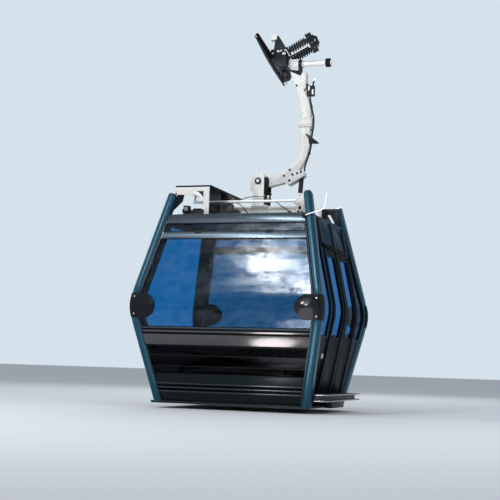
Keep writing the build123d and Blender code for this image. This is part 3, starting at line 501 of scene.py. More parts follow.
place_piece(soften(join("pillar_clip_strips", strips), 0.0015), "cabin", "polished_metal", dark_trim)

SLEEVE = 0.006
SLEEVE_Z = (WAIST - 0.146, WAIST + 0.146)
SLEEVE_STEPS = 8
ROUND = 0.042


def pillar_outline(grow):
    """The outer quarter and flanks of a pillar's section, from its end-wall edge round to its side edge."""
    points = [(PILLAR_X - 0.006, -grow)]
    for step in range(7):
        angle = math.radians(90 * step / 6)
        points.append((ROUND - (ROUND + grow) * math.sin(angle), ROUND - (ROUND + grow) * math.cos(angle)))
    return points + [(-grow, PILLAR_Y - 0.030)]


sleeves = []
for x, y in CORNERS:
    outline = pillar_outline(SLEEVE) + pillar_outline(-0.002)[::-1]
    deselect()
    bpy.ops.mesh.primitive_circle_add(vertices=len(outline), radius=1, fill_type="NGON")
    sleeve = bpy.context.active_object
    for vertex, (across, depth) in zip(sleeve.data.vertices, outline):
        vertex.co = (across, depth, SLEEVE_Z[0])
    start_edit(sleeve)
    rise = (SLEEVE_Z[1] - SLEEVE_Z[0]) / SLEEVE_STEPS
    for step in range(SLEEVE_STEPS):
        bpy.ops.mesh.extrude_region_move(TRANSFORM_OT_translate={"value": (0, 0, rise)})
    bpy.ops.object.mode_set(mode="OBJECT")
    sleeves.append(fit_to_cabin(sleeve, by_corner(x, y)))
place_piece(soften(join("bumper_sleeves", sleeves), 0.0015), "cabin", "black_rubber", black_rubber)
SLEEVE_BOLT_IN = 0.058
SLEEVE_BOLT_Z = (WAIST - 0.10, WAIST, WAIST + 0.10)
sleeve_bolts = []
for x, y in CORNERS:
    for z in SLEEVE_BOLT_Z:
        at = from_cabin(x * (wall_half(HALF_X, z) - SLEEVE_BOLT_IN), y * (wall_half(HALF_Y, z) + SLEEVE), z)
        sleeve_bolts.append((at, (0, y, 0), 0.008, 0.006, 16))
bolts("sleeve_bolts", sleeve_bolts, "cabin", "bare_steel", bare_steel)

# Half-round rubber bumpers stand on both end walls at the waist, one by each pillar. Each is a hard moulded
# pad with a rounded rim, so it shines a little along its upper edge.
SLOT_OF = {part["node"]: part["material_slot"] for part in frame["record"]["subparts"]}


def rounded_copy(node, name, width, material, segments=2, angle=30):
    """A copy of a CAD node with its real, rounded edges, which stands for it."""
    source = nodes[node]
    piece = bpy.data.objects.new(name, source.data.copy())
    bpy.context.scene.collection.objects.link(piece)
    start_edit(piece)
    bpy.ops.mesh.remove_doubles(threshold=0.00002)
    bpy.ops.mesh.dissolve_limited(angle_limit=math.radians(0.6))
    bpy.ops.object.mode_set(mode="OBJECT")
    soften(piece, width, segments, angle)
    place_piece(piece, source["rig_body"], SLOT_OF[node], material)
    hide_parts(node)
    return piece


moulded = finish("hard moulded rubber", (0.004, 0.006, 0.008), 0.5, mottle=0.3, mottle_scale=12, dust=0.08,
                 dust_scale=12, coat=0.14, grain=900, bump=0.0001, dust_colour=(0.03, 0.03, 0.03),
                 specular=0.08, coat_rough=0.09)
rounded_copy("bumpers", "waist_bumpers", 0.013, moulded, 3)

# The end walls are dark anodised rails and jambs, pressed in one frame, with a black rubber bead round each
# pane. The vent above the big window opens inwards, and two narrow panes light the seats below it. The rails
# under the big window are painted near black, a painted shade for the dark ground they mirror, and the inner
# faces are lined.
RAIL_SHADE_BELOW = 0.884
rail_grey = finish("dark anodised rail", (0.052, 0.068, 0.084), 0.27, metal=0.85, mottle=0.10,
                   mottle_scale=2, dust=0.05, dust_scale=4, grain=120, bump=0.00004,
                   dust_colour=(0.10, 0.11, 0.12), specular=0.3)
lining = finish("dark cabin lining", (0.008, 0.010, 0.014), 0.55, mottle=0.25, mottle_scale=6, dust=0.15,
                dust_scale=9, grain=900, bump=0.0003, dust_colour=(0.05, 0.055, 0.06), specular=0.25)
dark_plastic = finish("black moulded plastic", (0.010, 0.011, 0.013), 0.45, mottle=0.3, mottle_scale=10,
                      dust=0.25, dust_scale=20, grain=1500, bump=0.0004, dust_colour=(0.06, 0.06, 0.06),
                      specular=0.25)


def painted_shade_below(material, height, colour):
    """Paint a finish darker below a height of the cabin: painted shade for the dark ground low faces mirror.
    """
    tree = material.node_tree
    split = tree.nodes.new("ShaderNodeSeparateXYZ")
    tree.links.new(tree.nodes.new("ShaderNodeTexCoord").outputs["Object"], split.inputs[0])
    below = math_node(tree, "LESS_THAN", split.outputs["Z"], CABIN.z + height)
    base_colour = tree.nodes["Principled BSDF"].inputs["Base Color"]
    upper_colour = base_colour.links[0].from_socket
    tree.links.new(mix_colours(tree, below, upper_colour, (*colour, 1)), base_colour)


def line_inside(piece):
    """Give a wall's inner faces the lining of the cabin instead of the outer paint."""
    piece.data.materials.append(lining)
    for polygon in piece.data.polygons:
        away = polygon.center - CABIN
        for axis in (0, 1):
            facing = polygon.normal[axis]
            if facing * away[axis] < 0 and abs(facing) > 0.6:
                polygon.material_index = 1
    return piece


# Below the waist the rails are painted near black: painted shade for the dark ground they mirror.
painted_shade_below(rail_grey, RAIL_SHADE_BELOW, (0.007, 0.008, 0.010))
line_inside(rounded_copy("end_frames", "end_wall_frames", 0.0025, rail_grey))
END_OPENINGS = ((0.352, 0.450), (0.569, 0.682), (0.900, 1.967), (2.050, 2.158))
FRAME_IN = 0.026
JAMB = 0.016
BEAD = 0.007


def bead_ring(left, right, z):
    """A round rubber bead round a pane; left and right give the places of its two edges at a height."""
    heights = [z[0] + 0.003] + bend_cuts(z[0] + 0.003, z[1] - 0.003) + [z[1] - 0.003]
    points = [right(height) for height in heights] + [left(height) for height in heights[::-1]]
    make_active(round_bar("bead", points, BEAD, smooth=False))
    bpy.ops.object.convert(target="MESH")
    return bpy.context.active_object


def end_edge(sign, side):
    """The edge of an end wall's openings at a height, on one hand of one end."""
    return lambda z: from_cabin(sign * (wall_half(HALF_X, z) - PILLAR_X - JAMB),
                                side * (wall_half(HALF_Y, z) - FRAME_IN - 0.004), z)


beads = [bead_ring(end_edge(-1, side), end_edge(1, side), z) for side in ENDS for z in END_OPENINGS]
place_piece(soften(join("end_window_beads", beads), 0), "cabin", "black_rubber", black_rubber)
LATCH_X = 0.45
LATCH_Z = END_OPENINGS[3][0] - 0.004
latches = []
for side in ENDS:
    for x in (-LATCH_X, LATCH_X):
        y = side * (wall_half(HALF_Y, LATCH_Z) - FRAME_IN)
        latches.append(block(from_cabin(x - 0.04, y - 0.012, LATCH_Z - 0.014),
                             from_cabin(x + 0.04, y + 0.012, LATCH_Z + 0.020)))
place_piece(soften(join("vent_latches", latches), 0.004), "cabin", "dark_plastic", dark_plastic)

# Blue solar glass in every opening: body-tinted panes bent round the waist. A thin film of dried rain and
# wiping marks lies on it, patchy and drawn out along the panes, and it scatters the light in a soft glare.


def blue_glass(name, film_amount, index, deep, pale):
    """Blue solar glass with an uneven film of dried rain on it."""
    material = bpy.data.materials.new(name)
    material.use_nodes = True
    tree = material.node_tree
    shader = tree.nodes["Principled BSDF"]
    shader.inputs["Transmission Weight"].default_value = 1.0
    shader.inputs["IOR"].default_value = index
    shader.inputs["Coat Roughness"].default_value = 0.15
    shader.inputs["Coat IOR"].default_value = 1.5
    place = tree.nodes.new("ShaderNodeTexCoord").outputs["Object"]
    drawn = tree.nodes.new("ShaderNodeMapping")
    drawn.inputs["Scale"].default_value = (1.0, 1.0, 3.6)
    tree.links.new(place, drawn.inputs["Vector"])
    wiped = noise(tree, 3.4, 12, 0.80, drawn.outputs[0])
    clouds = noise(tree, 4.6, 12, 0.78, place)
    marks = math_node(tree, "SUBTRACT", math_node(tree, "ADD", wiped, clouds), 0.88, True)
    strong = math_node(tree, "MULTIPLY", marks, 3.0 * film_amount)
    tree.links.new(math_node(tree, "ADD", strong, 0.12 * film_amount, True), shader.inputs["Coat Weight"])
    haze = math_node(tree, "MULTIPLY", math_node(tree, "SUBTRACT", clouds, 0.5, True), 0.25, True)
    tree.links.new(haze, shader.inputs["Roughness"])
    tree.links.new(mix_colours(tree, wiped, (*deep, 1), (*pale, 1)), shader.inputs["Base Color"])
    return material


end_glass = blue_glass("blue end glass", 1.0, 1.12, (0.050, 0.24, 0.42), (0.14, 0.34, 0.50))
side_glass = blue_glass("blue side glass", 0.07, 1.06, (0.03, 0.42, 0.78), (0.08, 0.54, 0.88))
for name in ("end_windows", "small_end_windows"):
    paint(nodes[name], end_glass)
for name in ("side_windows", "door_glass"):
    paint(nodes[name], side_glass)

# A polished rub rail and a thin sill strip run across each end under the big window. They are drawn
# aluminium with fine lengthwise lines and small scuffs.
polished = finish("polished rub rail", (0.078, 0.074, 0.076), 0.20, metal=1.0, mottle=0.15, mottle_scale=3,
                  dust=0.15, dust_scale=9, grain=400, bump=0.00006, dust_colour=(0.08, 0.075, 0.075))
rounded_copy("rub_rails", "rub_rails_and_sills", 0.003, polished)

# The lower panel at each end is pressed sheet with three ribs, painted near black and riveted to the frame
# along its lower edge. Bright bare metal on the ribs' edges is a painted highlight for the glints along them.
panel_black = finish("near black panel paint", (0.003, 0.006, 0.008), 0.28, metal=0.1, mottle=0.2,
                     mottle_scale=3, dust=0.08, dust_scale=6, grain=600, bump=0.00006,
                     dust_colour=(0.02, 0.03, 0.035), specular=0.15)
rib_glint_metal = finish("rib glint metal", (0.05, 0.055, 0.06), 0.24, metal=1.0, mottle=0.2, mottle_scale=5,
                   dust=0.2, dust_scale=9, grain=400, bump=0.00006, dust_colour=(0.02, 0.025, 0.03))
lower_panels = line_inside(rounded_copy("end_panels", "lower_end_panels", 0.003, panel_black))
# The rib edges get a brighter metal: a painted highlight for the glints along the ribs.
lower_panels.data.materials.append(rib_glint_metal)
RIB_Z = (0.144, 0.190, 0.237)
RIB_REACH = 0.0095
RIB_FACE = 0.04
for polygon in lower_panels.data.polygons:
    height = polygon.center.z - CABIN.z
    on_rib = any(abs(height - rib) < RIB_REACH for rib in RIB_Z)
    if on_rib and polygon.area < RIB_FACE and polygon.material_index == 0:
        polygon.material_index = 2
RIVET_X = 0.80
RIVET_Z = 0.058
RIVETS = 12
slope = (HALF_Y[1] - HALF_Y[0]) / WAIST
rivets = []
for side in ENDS:
    for step in range(RIVETS):
        x = -RIVET_X + 2 * RIVET_X * step / (RIVETS - 1)
        at = from_cabin(x, side * (wall_half(HALF_Y, RIVET_Z) - 0.022), RIVET_Z)
        rivets.append((at, (0, side, -slope), 0.005, 0.004, 12))
bolts("panel_rivets", rivets, "cabin", "teal_metal", panel_black)

# The left wall is one panel with a wide bent window, painted navy. Below the glass the navy is painted nearly
# black, a painted shade for the dark ground the lower wall mirrors. A bead of rubber holds the pane, two
# rubber strips guard the panel, and rivets run beside them.
NAVY_SHADE_BELOW = 0.822
navy = finish("deep navy paint", (0.004, 0.026, 0.054), 0.22, mottle=0.15, mottle_scale=2, dust=0.05,
              dust_scale=6, grain=600, bump=0.00004, dust_colour=(0.02, 0.04, 0.06), specular=0.02)
# Below the glass the navy turns near black: painted shade for the dark ground the wall mirrors.
painted_shade_below(navy, NAVY_SHADE_BELOW, (0.004, 0.007, 0.012))
line_inside(rounded_copy("left_wall", "left_side_wall", 0.003, navy))


def side_strip(y, depth, z, side_x):
    """A strip on a side wall between two places along the travel."""
    piece = block((y[0], depth[0], z[0]), (y[1], depth[1], z[1]), bend_cuts(*z))
    return fit_to_cabin(piece, lambda along, deep, up: (side_x * (wall_half(HALF_X, up) - deep), along, up))


GUARD_DEPTH = (0.012, 0.027)
guards = [side_strip((-0.895, 0.895), GUARD_DEPTH, (0.758, 0.798), -1),
          side_strip((-0.700, 0.700), GUARD_DEPTH, (0.110, 0.150), -1)]
place_piece(soften(join("left_belt_strips", guards), 0.004), "cabin", "black_rubber", black_rubber)
LEFT_RIVET_ROWS = ((0.728, 0.86), (0.180, 0.68))
LEFT_RIVETS = 10
left_rivets = []
for z, reach in LEFT_RIVET_ROWS:
    for step in range(LEFT_RIVETS):
        at = from_cabin(-wall_half(HALF_X, z) + 0.022, -reach + 2 * reach * step / (LEFT_RIVETS - 1), z)
        left_rivets.append((at, (-1, 0, -0.2), 0.006, 0.004, 12))
bolts("left_panel_rivets", left_rivets, "cabin", "navy_metal", navy)
LEFT_JAMB = 0.330
SIDE_GLASS = (0.836, 2.160)


def side_edge(side_x, depth, place_y):
    """One edge of a pane in a side wall; place_y gives its place along the travel at a height."""
    return lambda z: from_cabin(side_x * (wall_half(HALF_X, z) - depth), place_y(z), z)


left_bead = bead_ring(side_edge(-1, FRAME_IN + 0.004, lambda z: LEFT_JAMB - wall_half(HALF_Y, z)),
                      side_edge(-1, FRAME_IN + 0.004, lambda z: wall_half(HALF_Y, z) - LEFT_JAMB),
                      SIDE_GLASS)
place_piece(soften(join("left_window_bead", [left_bead]), 0), "cabin", "black_rubber", black_rubber)

# The door side: two leaves meet at the middle between fixed quarter panes. Each leaf has a rubber edge down
# both sides, a bead round its tall pane and a drip rail over it, and slides on a track under the header.
# Three cover strips hide the header's joints, and a steel knob locks the near side panel.
door_black = finish("black door frame paint", (0.003, 0.007, 0.010), 0.30, mottle=0.2, mottle_scale=3,
                    dust=0.06, dust_scale=6, grain=600, bump=0.00004, dust_colour=(0.02, 0.028, 0.033),
                    specular=0.01)
# The door side wall takes the same navy, with its painted shade below the glass.
line_inside(rounded_copy("door_frame", "door_side_wall", 0.003, navy))
line_inside(rounded_copy("door_front", "front_door_leaf", 0.003, door_black))
line_inside(rounded_copy("door_rear", "rear_door_leaf", 0.003, door_black))
DOOR_HALF = 0.550
DOOR_IN = 0.018
DOOR_Z = (0.176, 1.880)
DOOR_GLASS = (0.836, 1.806)
QUARTER_Y = 0.664
PANES = ((-0.478, -0.120), (0.120, 0.478))
side_beads = []
for near, far in PANES:
    side_beads.append(bead_ring(side_edge(1, DOOR_IN + 0.003, lambda z: near),
                                side_edge(1, DOOR_IN + 0.003, lambda z: far), DOOR_GLASS))
for side in ENDS:
    by_door = side_edge(1, FRAME_IN + 0.004, lambda z: side * QUARTER_Y)
    by_pillar = side_edge(1, FRAME_IN + 0.004, lambda z: side * (wall_half(HALF_Y, z) - PILLAR_Y - JAMB))
    left, right = (by_pillar, by_door) if side < 0 else (by_door, by_pillar)
    side_beads.append(bead_ring(left, right, SIDE_GLASS))
place_piece(soften(join("door_side_beads", side_beads), 0), "cabin", "black_rubber", black_rubber)
EDGE_Y = (-DOOR_HALF + 0.010, -0.0145, 0.0145, DOOR_HALF - 0.010)
EDGE_Z = (DOOR_Z[0] + 0.01, DOOR_Z[1] - 0.01)
door_edges = [side_strip((y - 0.012, y + 0.012), (0.006, DOOR_IN + 0.004), EDGE_Z, 1) for y in EDGE_Y]
place_piece(soften(join("door_edge_rubbers", door_edges), 0.003), "cabin", "black_rubber", black_rubber)
TRACK_Y = (-DOOR_HALF - 0.05, DOOR_HALF + 0.05)
track = [side_strip(TRACK_Y, (0.004, 0.027), (1.895, 1.935), 1),
         side_strip(TRACK_Y, (-0.004, 0.012), (1.925, 1.938), 1)]
place_piece(soften(join("door_track", track), 0.002), "cabin", "rail_metal", door_black)
COVER_Y = (-0.571, 0, 0.571)
COVER_Z = (1.944, 2.236)
covers = [side_strip((y - 0.052, y + 0.052), (0.010, 0.027), COVER_Z, 1) for y in COVER_Y]
place_piece(soften(join("header_cover_strips", covers), 0.003), "cabin", "black_rubber", black_rubber)
LOCK_Y, LOCK_Z = -0.654, 0.609
lock_at = from_cabin(wall_half(HALF_X, LOCK_Z) - FRAME_IN, LOCK_Y, LOCK_Z)
deselect()
bpy.ops.mesh.primitive_uv_sphere_add(segments=24, ring_count=12, radius=0.022, location=lock_at)
bpy.context.active_object.scale = (0.7, 1, 1)
lock_parts = [settle()] + bolt(lock_at, (1, 0, -0.2), 0.024, 0.010, 24)
place_piece(soften(join("door_lock_knob", lock_parts), 0.001), "cabin", "bare_steel", bare_steel)

# The door step is a folded tray along the door side, with bright edge profiles on its rim and ridged rubber
# on its tread. The guide block under it runs in the station's rail.
dark_cast = finish("dark painted casting", (0.012, 0.014, 0.017), 0.40, metal=0.3, mottle=0.35,
                   mottle_scale=14, dust=0.3, dust_scale=24, grain=700, bump=0.0005,
                   dust_colour=(0.07, 0.067, 0.064), specular=0.3)
bright_trim = finish("bright trim", (0.26, 0.28, 0.30), 0.28, metal=0.9, mottle=0.15, mottle_scale=6,
                     dust=0.2, dust_scale=12, grain=500, bump=0.0001, dust_colour=(0.10, 0.11, 0.12))
rounded_copy("door_step", "door_step_tray", 0.004, dark_cast)
STEP_Y = 0.770
STEP_Z = (0.086, 0.166)
STEP_OUT = wall_half(HALF_X, STEP_Z[1]) + 0.180
RIM_END_X = 1.01
RIM_Z = ((STEP_Z[0] - 0.002, STEP_Z[0] + 0.012), (STEP_Z[1] - 0.012, STEP_Z[1] + 0.002))
rims = []
for low, high in RIM_Z:
    rims.append(block(from_cabin(STEP_OUT - 0.004, -STEP_Y, low),
                      from_cabin(STEP_OUT + 0.003, STEP_Y, high)))
    for near, far in ((-STEP_Y - 0.004, -STEP_Y + 0.001), (STEP_Y - 0.001, STEP_Y + 0.004)):
        rims.append(block(from_cabin(RIM_END_X, near, low), from_cabin(STEP_OUT + 0.003, far, high)))
place_piece(soften(join("step_edge_profiles", rims), 0.001), "cabin", "polished_metal", bright_trim)
TREAD_X = 0.995
TREAD_PITCH = 0.018
ridges = []
for step in range(9):
    x = TREAD_X + step * TREAD_PITCH
    ridges.append(block(from_cabin(x, -STEP_Y + 0.02, STEP_Z[1] - 0.002),
                        from_cabin(x + TREAD_PITCH / 2, STEP_Y - 0.02, STEP_Z[1] + 0.003)))
place_piece(soften(join("step_tread", ridges), 0.001), "cabin", "black_rubber", black_rubber)

# Under the cabin lies one dark plastic skid plate, with its lip out at the left. It is screwed up into the
# floor, which is ribbed aluminium sheet, dull from shoes.
rounded_copy("base_plate", "skid_plate", 0.004, dark_plastic)
screws = [(from_cabin(x, y, 0.0), (0, 0, -1), 0.010, 0.004, 16) for x in (-0.88, -0.44, 0, 0.44, 0.88)
          for y in (-0.74, -0.25, 0.25, 0.74)]
bolts("skid_screws", screws, "cabin", "bare_steel", bare_steel)
floor_metal = finish("ribbed floor metal", (0.10, 0.105, 0.11), 0.45, metal=0.8, mottle=0.3, mottle_scale=6,
                     dust=0.5, dust_scale=12, grain=300, bump=0.0006, dust_colour=(0.10, 0.095, 0.09))
paint(nodes["floor"], floor_metal)

# Two benches face each other along the end walls, moulded in dark plastic, with low backrests behind them.
# Their fronts are rounded, and steel slats carry each one at the wall.
seat_plastic = finish("dark seat moulding", (0.014, 0.018, 0.024), 0.5, mottle=0.25, mottle_scale=8,
                      dust=0.15, dust_scale=12, grain=1400, bump=0.0005, dust_colour=(0.05, 0.05, 0.05),
                      specular=0.3)
rounded_copy("benches", "seat_benches", 0.020, seat_plastic, 3)
rounded_copy("backrests", "seat_backs", 0.014, seat_plastic, 3)
SLAT_X = 0.365
SLAT_PITCH = 0.045
SLAT_Z = (0.555, 0.695)
SLAT_IN = 0.085
slats = []
for side in ENDS:
    y = side * (wall_half(HALF_Y, 0.6) - SLAT_IN)
    for step in range(4):
        x = side * SLAT_X + (step - 1.5) * SLAT_PITCH
        slats.append(block(from_cabin(x - 0.007, y - 0.012, SLAT_Z[0]),
                           from_cabin(x + 0.007, y + 0.012, SLAT_Z[1])))
place_piece(soften(join("bench_slats", slats), 0.002), "cabin", "bare_steel", bare_steel)

# The roof is a shallow hipped skin of painted sheet with a folded gutter at the eaves. Rolled seams close its
# four hips and its two long edges, and dry dirt has settled on it.
roof_paint = finish("roof skin paint", (0.05, 0.08, 0.10), 0.4, mottle=0.3, mottle_scale=3, dust=0.6,
                    dust_scale=5, grain=400, bump=0.0003, dust_colour=(0.18, 0.17, 0.155))
paint(nodes["roof"], roof_paint)
EAVE, ROOF_TOP = 2.270, 2.300
ROOF_IN = 0.064
HIP_X, HIP_Y = 0.215, 0.195
FOOT_X, FOOT_Y, FOOT_RISE = 0.10, 0.09, 0.014
SEAM = 0.007
roof_half_x = wall_half(HALF_X, EAVE) - ROOF_IN
roof_half_y = wall_half(HALF_Y, EAVE) - ROOF_IN
seams = []
for x, y in CORNERS:
    start = from_cabin(x * (roof_half_x - FOOT_X), y * (roof_half_y - FOOT_Y), EAVE + FOOT_RISE)
    stop = from_cabin(x * (roof_half_x - HIP_X), y * (roof_half_y - HIP_Y), ROOF_TOP)
    along = stop - start
    turn = along.to_track_quat("Z", "Y").to_euler()
    seams.append(cylinder(0.008, along.length, (start + stop) / 2, turn, 16))
for side in ENDS:
    edge = side * (roof_half_y - HIP_Y)
    seams.append(block(from_cabin(HIP_X - roof_half_x, edge - SEAM, ROOF_TOP - 0.002),
                       from_cabin(roof_half_x - HIP_X, edge + SEAM, ROOF_TOP + 0.007)))
place_piece(soften(join("roof_seams", seams), 0.002), "cabin", "roof_metal", roof_paint)

# The crossbeam stands on the roof through two rubber mounts and carries the pivot upright: two galvanised
# cheeks bolted to it, with the pin between them and a rubber buffer beside them. A tube and two edge plates
# stand beside the beam, and the damper's foot is bolted to its end.
galvanised = finish("galvanised steel", (0.55, 0.545, 0.53), 0.45, metal=0.15, mottle=0.28, mottle_scale=26,
                    dust=0.3, dust_scale=18, grain=350, bump=0.0005, dust_colour=(0.36, 0.34, 0.30))
white_tube = finish("white coated tube", (0.86, 0.86, 0.84), 0.35, mottle=0.1, mottle_scale=12, dust=0.15,
                    dust_scale=15, grain=500, bump=0.0001, dust_colour=(0.45, 0.43, 0.40))
rounded_copy("crossbeam", "roof_crossbeam", 0.006, galvanised)
paint(nodes["beam_mounts"], black_rubber)
rounded_copy("pivot_upright", "pivot_cheeks", 0.003, galvanised)
paint(nodes["pivot_pin"], dark_cast)
rounded_copy("sway_buffer", "sway_rubber", 0.006, black_rubber)
BEAM_X, BEAM_Y = 0.593, 0.058
BEAM_TOP = 2.466
MOUNT_BOLT_X = 0.85 * BEAM_X
PIN_OFFSET = 0.020
CHEEK_BOLTS = ((-0.058, 2.362), (-0.058, 2.438), (0.102, 2.362), (0.102, 2.438))
beam_bolts = []
for side in ENDS:
    for x, z in CHEEK_BOLTS:
        beam_bolts.append((from_cabin(PIN_OFFSET + x, side * (BEAM_Y + 0.014), z), (0, side, 0), 0.011))
    for x in ENDS:
        at = from_cabin(PIN_OFFSET + x * MOUNT_BOLT_X, side * 0.030, BEAM_TOP)
        beam_bolts.append((at, (0, 0, 1), 0.012))
bolts("beam_bolts", beam_bolts, "cabin", "bare_steel", galvanised)
END_BOLTS = ((0.572, 2.440), (0.549, 2.392), (0.600, 2.380))
end_bolts = [(from_cabin(x, -0.064, z), (0, -1, 0), 0.013) for x, z in END_BOLTS]
bolts("beam_end_bolts", end_bolts, "cabin", "dark_metal", dark_cast)
QUARTER_TURN = math.radians(90)
pin_heads = [cylinder(0.022, 0.010, from_pivot(0, side * 0.088, 0), (QUARTER_TURN, 0, 0), 40)
             for side in ENDS]
place_piece(soften(join("pivot_pin_ends", pin_heads), 0.003), "cabin", "bare_steel", galvanised)
rounded_copy("damper_foot", "damper_foot_ears", 0.002, galvanised)
rounded_copy("roof_tube", "roof_cross_tube", 0.0015, white_tube)
rounded_copy("edge_bracket", "edge_plate", 0.0015, galvanised)
rounded_copy("far_bracket", "far_notched_plate", 0.0015, dark_cast)

# A flat black cover on pale brackets shields the door drive at the near left of the roof. The drive's case is
# moulded plastic, with a small galvanised plate on its switch and glands for the cables.
cover_black = finish("black roof cover", (0.007, 0.008, 0.011), 0.5, mottle=0.2, mottle_scale=4, dust=0.2,
                     dust_scale=8, grain=500, bump=0.0001, dust_colour=(0.05, 0.05, 0.055), specular=0.12)
rounded_copy("roof_panel", "drive_cover", 0.004, cover_black)
rounded_copy("panel_bracket", "cover_brackets", 0.002, galvanised)
rounded_copy("roof_drive", "door_drive_case", 0.006, dark_plastic)
paint(nodes["cable_glands"], dark_plastic)
switch_plate = block(from_cabin(-0.790, -0.505, 2.362), from_cabin(-0.745, -0.496, 2.408))
place_piece(soften(join("switch_plate", [switch_plate]), 0.002), "cabin", "galvanised", galvanised)

# A thin grounding rod stands out at the near right corner of the roof. It is white coated steel, bent from
# one length, and a black knob clamps its foot.
ROD = ((0.862, -0.850, 2.231), (0.896, -0.876, 2.239), (0.987, -0.880, 2.265), (1.060, -0.878, 2.285),
       (1.112, -0.875, 2.310), (1.121, -0.875, 2.380), (1.134, -0.875, 2.487))
make_active(round_bar("grounding_rod", [from_cabin(*p) for p in ROD], 0.006))
bpy.ops.object.convert(target="MESH")
place_piece(bpy.context.active_object, "cabin", "galvanised", white_tube)
knob = bolt(from_cabin(0.862, -0.842, 2.231), (0, -1, 0), 0.020, 0.030, 24)
place_piece(soften(join("grounding_knob", knob), 0.005), "cabin", "black_rubber", black_rubber)

# The sway damper is a black cylinder pinned to the hanger's clamp plates, with a bright turned rod pinned to
# the foot on the beam. It keeps the cabin from rocking about the pivot pin.
paint(nodes["damper_cylinder"], dark_cast)
paint(nodes["damper_rod"], bare_steel)

# The hanger is a bowed, welded box section, hot-dip galvanised, from the roof's pivot up to the grip's shaft.
# A collar grips it at half height, clamp plates bolted near its foot carry the damper, and plastic clips
# hold the cable on it. A sensor sits near its head, with a white cap and three white plates.
rounded_copy("hanger_arm", "hanger_bow", 0.009, galvanised, 3)
rounded_copy("arm_collar", "bow_collar", 0.004, galvanised)
rounded_copy("arm_fin", "cable_fin", 0.0015, dark_cast)
rounded_copy("hanger_foot", "hanger_hub", 0.003, dark_cast)
rounded_copy("hanger_head", "shaft_head", 0.006, galvanised)
rounded_copy("head_pad", "shaft_head_pad", 0.004, black_rubber)
rounded_copy("hanger_link", "shaft_link", 0.004, dark_cast)
rounded_copy("damper_bracket", "damper_clamps", 0.002, galvanised)
rounded_copy("sensor_box", "bow_sensor", 0.003, dark_plastic)
SENSOR_CAP = (0.686, -0.010, 1.282)
SENSOR_PLATES = (((0.617, -0.043, 1.140), (0.631, -0.038, 1.198)),
                 ((0.664, -0.043, 1.088), (0.682, -0.038, 1.150)),
                 ((0.640, -0.043, 1.204), (0.662, -0.020, 1.222)))
deselect()
bpy.ops.mesh.primitive_uv_sphere_add(segments=32, ring_count=16, radius=0.0235,
                                     location=from_pivot(*SENSOR_CAP))
bpy.context.active_object.scale = (1, 1, 0.92)
sensor_parts = [settle()] + [block(from_pivot(*low), from_pivot(*high)) for low, high in SENSOR_PLATES]
place_piece(soften(join("sensor_cap_and_plates", sensor_parts), 0.001), "hanger", "pale_plastic", white_tube)
ARM_HALF = 0.050


def on_both_sides(reach, radius, places):
    """Bolts on both sides of the arm at a row of places, at a reach from its middle."""
    return [(from_pivot(x, side * reach, z), (0, side, 0), radius) for side in ENDS for x, z in places]


CLAMP_BOLTS = ((0.405, 0.000), (0.445, 0.072), (0.505, 0.088), (0.556, 0.104))
bolts("hanger_bolts", on_both_sides(ARM_HALF + 0.014, 0.011, CLAMP_BOLTS), "hanger", "dark_metal", dark_cast)
COLLAR_BOLTS = ((0.528, 0.700), (0.528, 0.762), (0.656, 0.700), (0.656, 0.762))
bolts("collar_bolts", on_both_sides(ARM_HALF + 0.016, 0.009, COLLAR_BOLTS), "hanger", "galvanised",
      galvanised)
STUDS = ((0.330, 0.062), (0.405, 0.135), (0.465, 1.208))
bolts("bow_studs", on_both_sides(ARM_HALF, 0.010, STUDS), "hanger", "dark_metal", dark_cast)
CLIPS = ((0.658, 0.940), (0.680, 0.640), (0.669, 0.490), (0.645, 0.338))
clips = [block(from_pivot(x - 0.030, -0.034, z - 0.008), from_pivot(x + 0.014, -0.006, z + 0.008))
         for x, z in CLIPS]
place_piece(soften(join("lead_clips", clips), 0.002), "hanger", "dark_plastic", dark_plastic)

# The grip: forged jaws with long tongues, a cast housing on a turned shaft, two coil springs side by side
# under a crosshead, a guide horn with its pale slide, and the roller on the shaft's outer end. It stands
# tilted along the travel, and its bolts are galvanised.
GRIP_TILT = math.radians(14.5)


def from_grip(x, y, z):
    """A place given in the grip's own tilted frame: across it, along its jaws and up."""
    return Vector((x, y * math.cos(GRIP_TILT) + z * math.sin(GRIP_TILT),
                   -y * math.sin(GRIP_TILT) + z * math.cos(GRIP_TILT)))


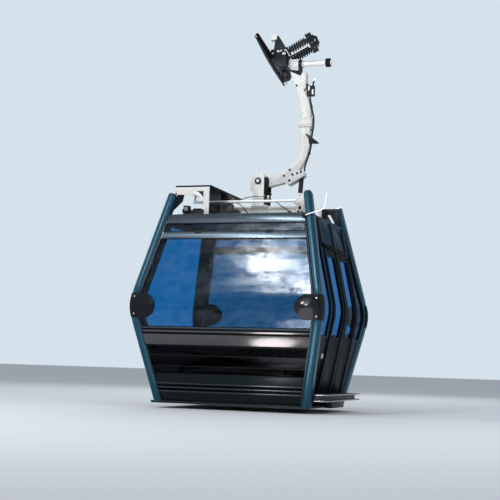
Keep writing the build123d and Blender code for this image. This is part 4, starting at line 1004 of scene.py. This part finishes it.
spring_paint = finish("black spring steel", (0.05, 0.055, 0.06), 0.32, metal=0.6, mottle=0.3,
                      mottle_scale=40, dust=0.4, dust_scale=60, grain=900, bump=0.0003,
                      dust_colour=(0.10, 0.09, 0.08))
pale_plastic = finish("pale slide plastic", (0.66, 0.66, 0.63), 0.5, mottle=0.15, mottle_scale=20, dust=0.3,
                      dust_scale=40, grain=800, bump=0.0003)
shaft_steel = finish("ground shaft steel", (0.74, 0.73, 0.71), 0.42, metal=0.5, mottle=0.15,
                     mottle_scale=14, dust=0.25, dust_scale=18, grain=300, bump=0.0001,
                     dust_colour=(0.30, 0.29, 0.27))
for name in ("fixed_jaw", "moving_jaw", "spring_guides"):
    paint(nodes[name], dark_cast)
rounded_copy("grip_housing", "grip_casting", 0.008, dark_cast)
rounded_copy("guide_horn", "grip_horn", 0.004, dark_cast)
rounded_copy("horn_pad", "horn_slide", 0.005, pale_plastic)
rounded_copy("spring_crosshead", "grip_crosshead", 0.005, dark_cast)
paint(nodes["jaw_springs"], spring_paint)
paint(nodes["grip_shaft"], shaft_steel)
paint(nodes["outer_roller"], black_rubber)
GRIP_BOLTS = ((0.129, 0.150, 0.036, 0.013), (0.166, 0.150, 0.042, 0.010), (0.210, 0.150, -0.002, 0.016),
              (0.222, 0.150, 0.050, 0.010), (0.060, 0.150, 0.012, 0.010), (0.090, 0.026, 0.142, 0.011))
CROSSHEAD_BOLTS = ((0.560, 0.064, 0.222, 0.013), (0.528, 0.064, 0.196, 0.009), (0.452, 0.160, 0.262, 0.014))
SHAFT_NUT = (0.434, -0.02003, -0.07745)


def bolt_grip(name, places):
    """Bolts on both faces of the grip: each place is across, along and up, with the head's radius."""
    heads = [(from_grip(x, side * y, z), (0, side, 0), radius)
             for side in ENDS for x, y, z, radius in places]
    bolts(name, heads, "grip", "bare_steel", galvanised)


bolt_grip("grip_bolts", GRIP_BOLTS)
shaft_nut = soften(cylinder(0.046, 0.022, SHAFT_NUT, (0, QUARTER_TURN, 0), 40), 0.006, 3)
place_piece(join("shaft_nut", [shaft_nut]), "grip", "bare_steel", galvanised)
bolt_grip("crosshead_bolts", CROSSHEAD_BOLTS)
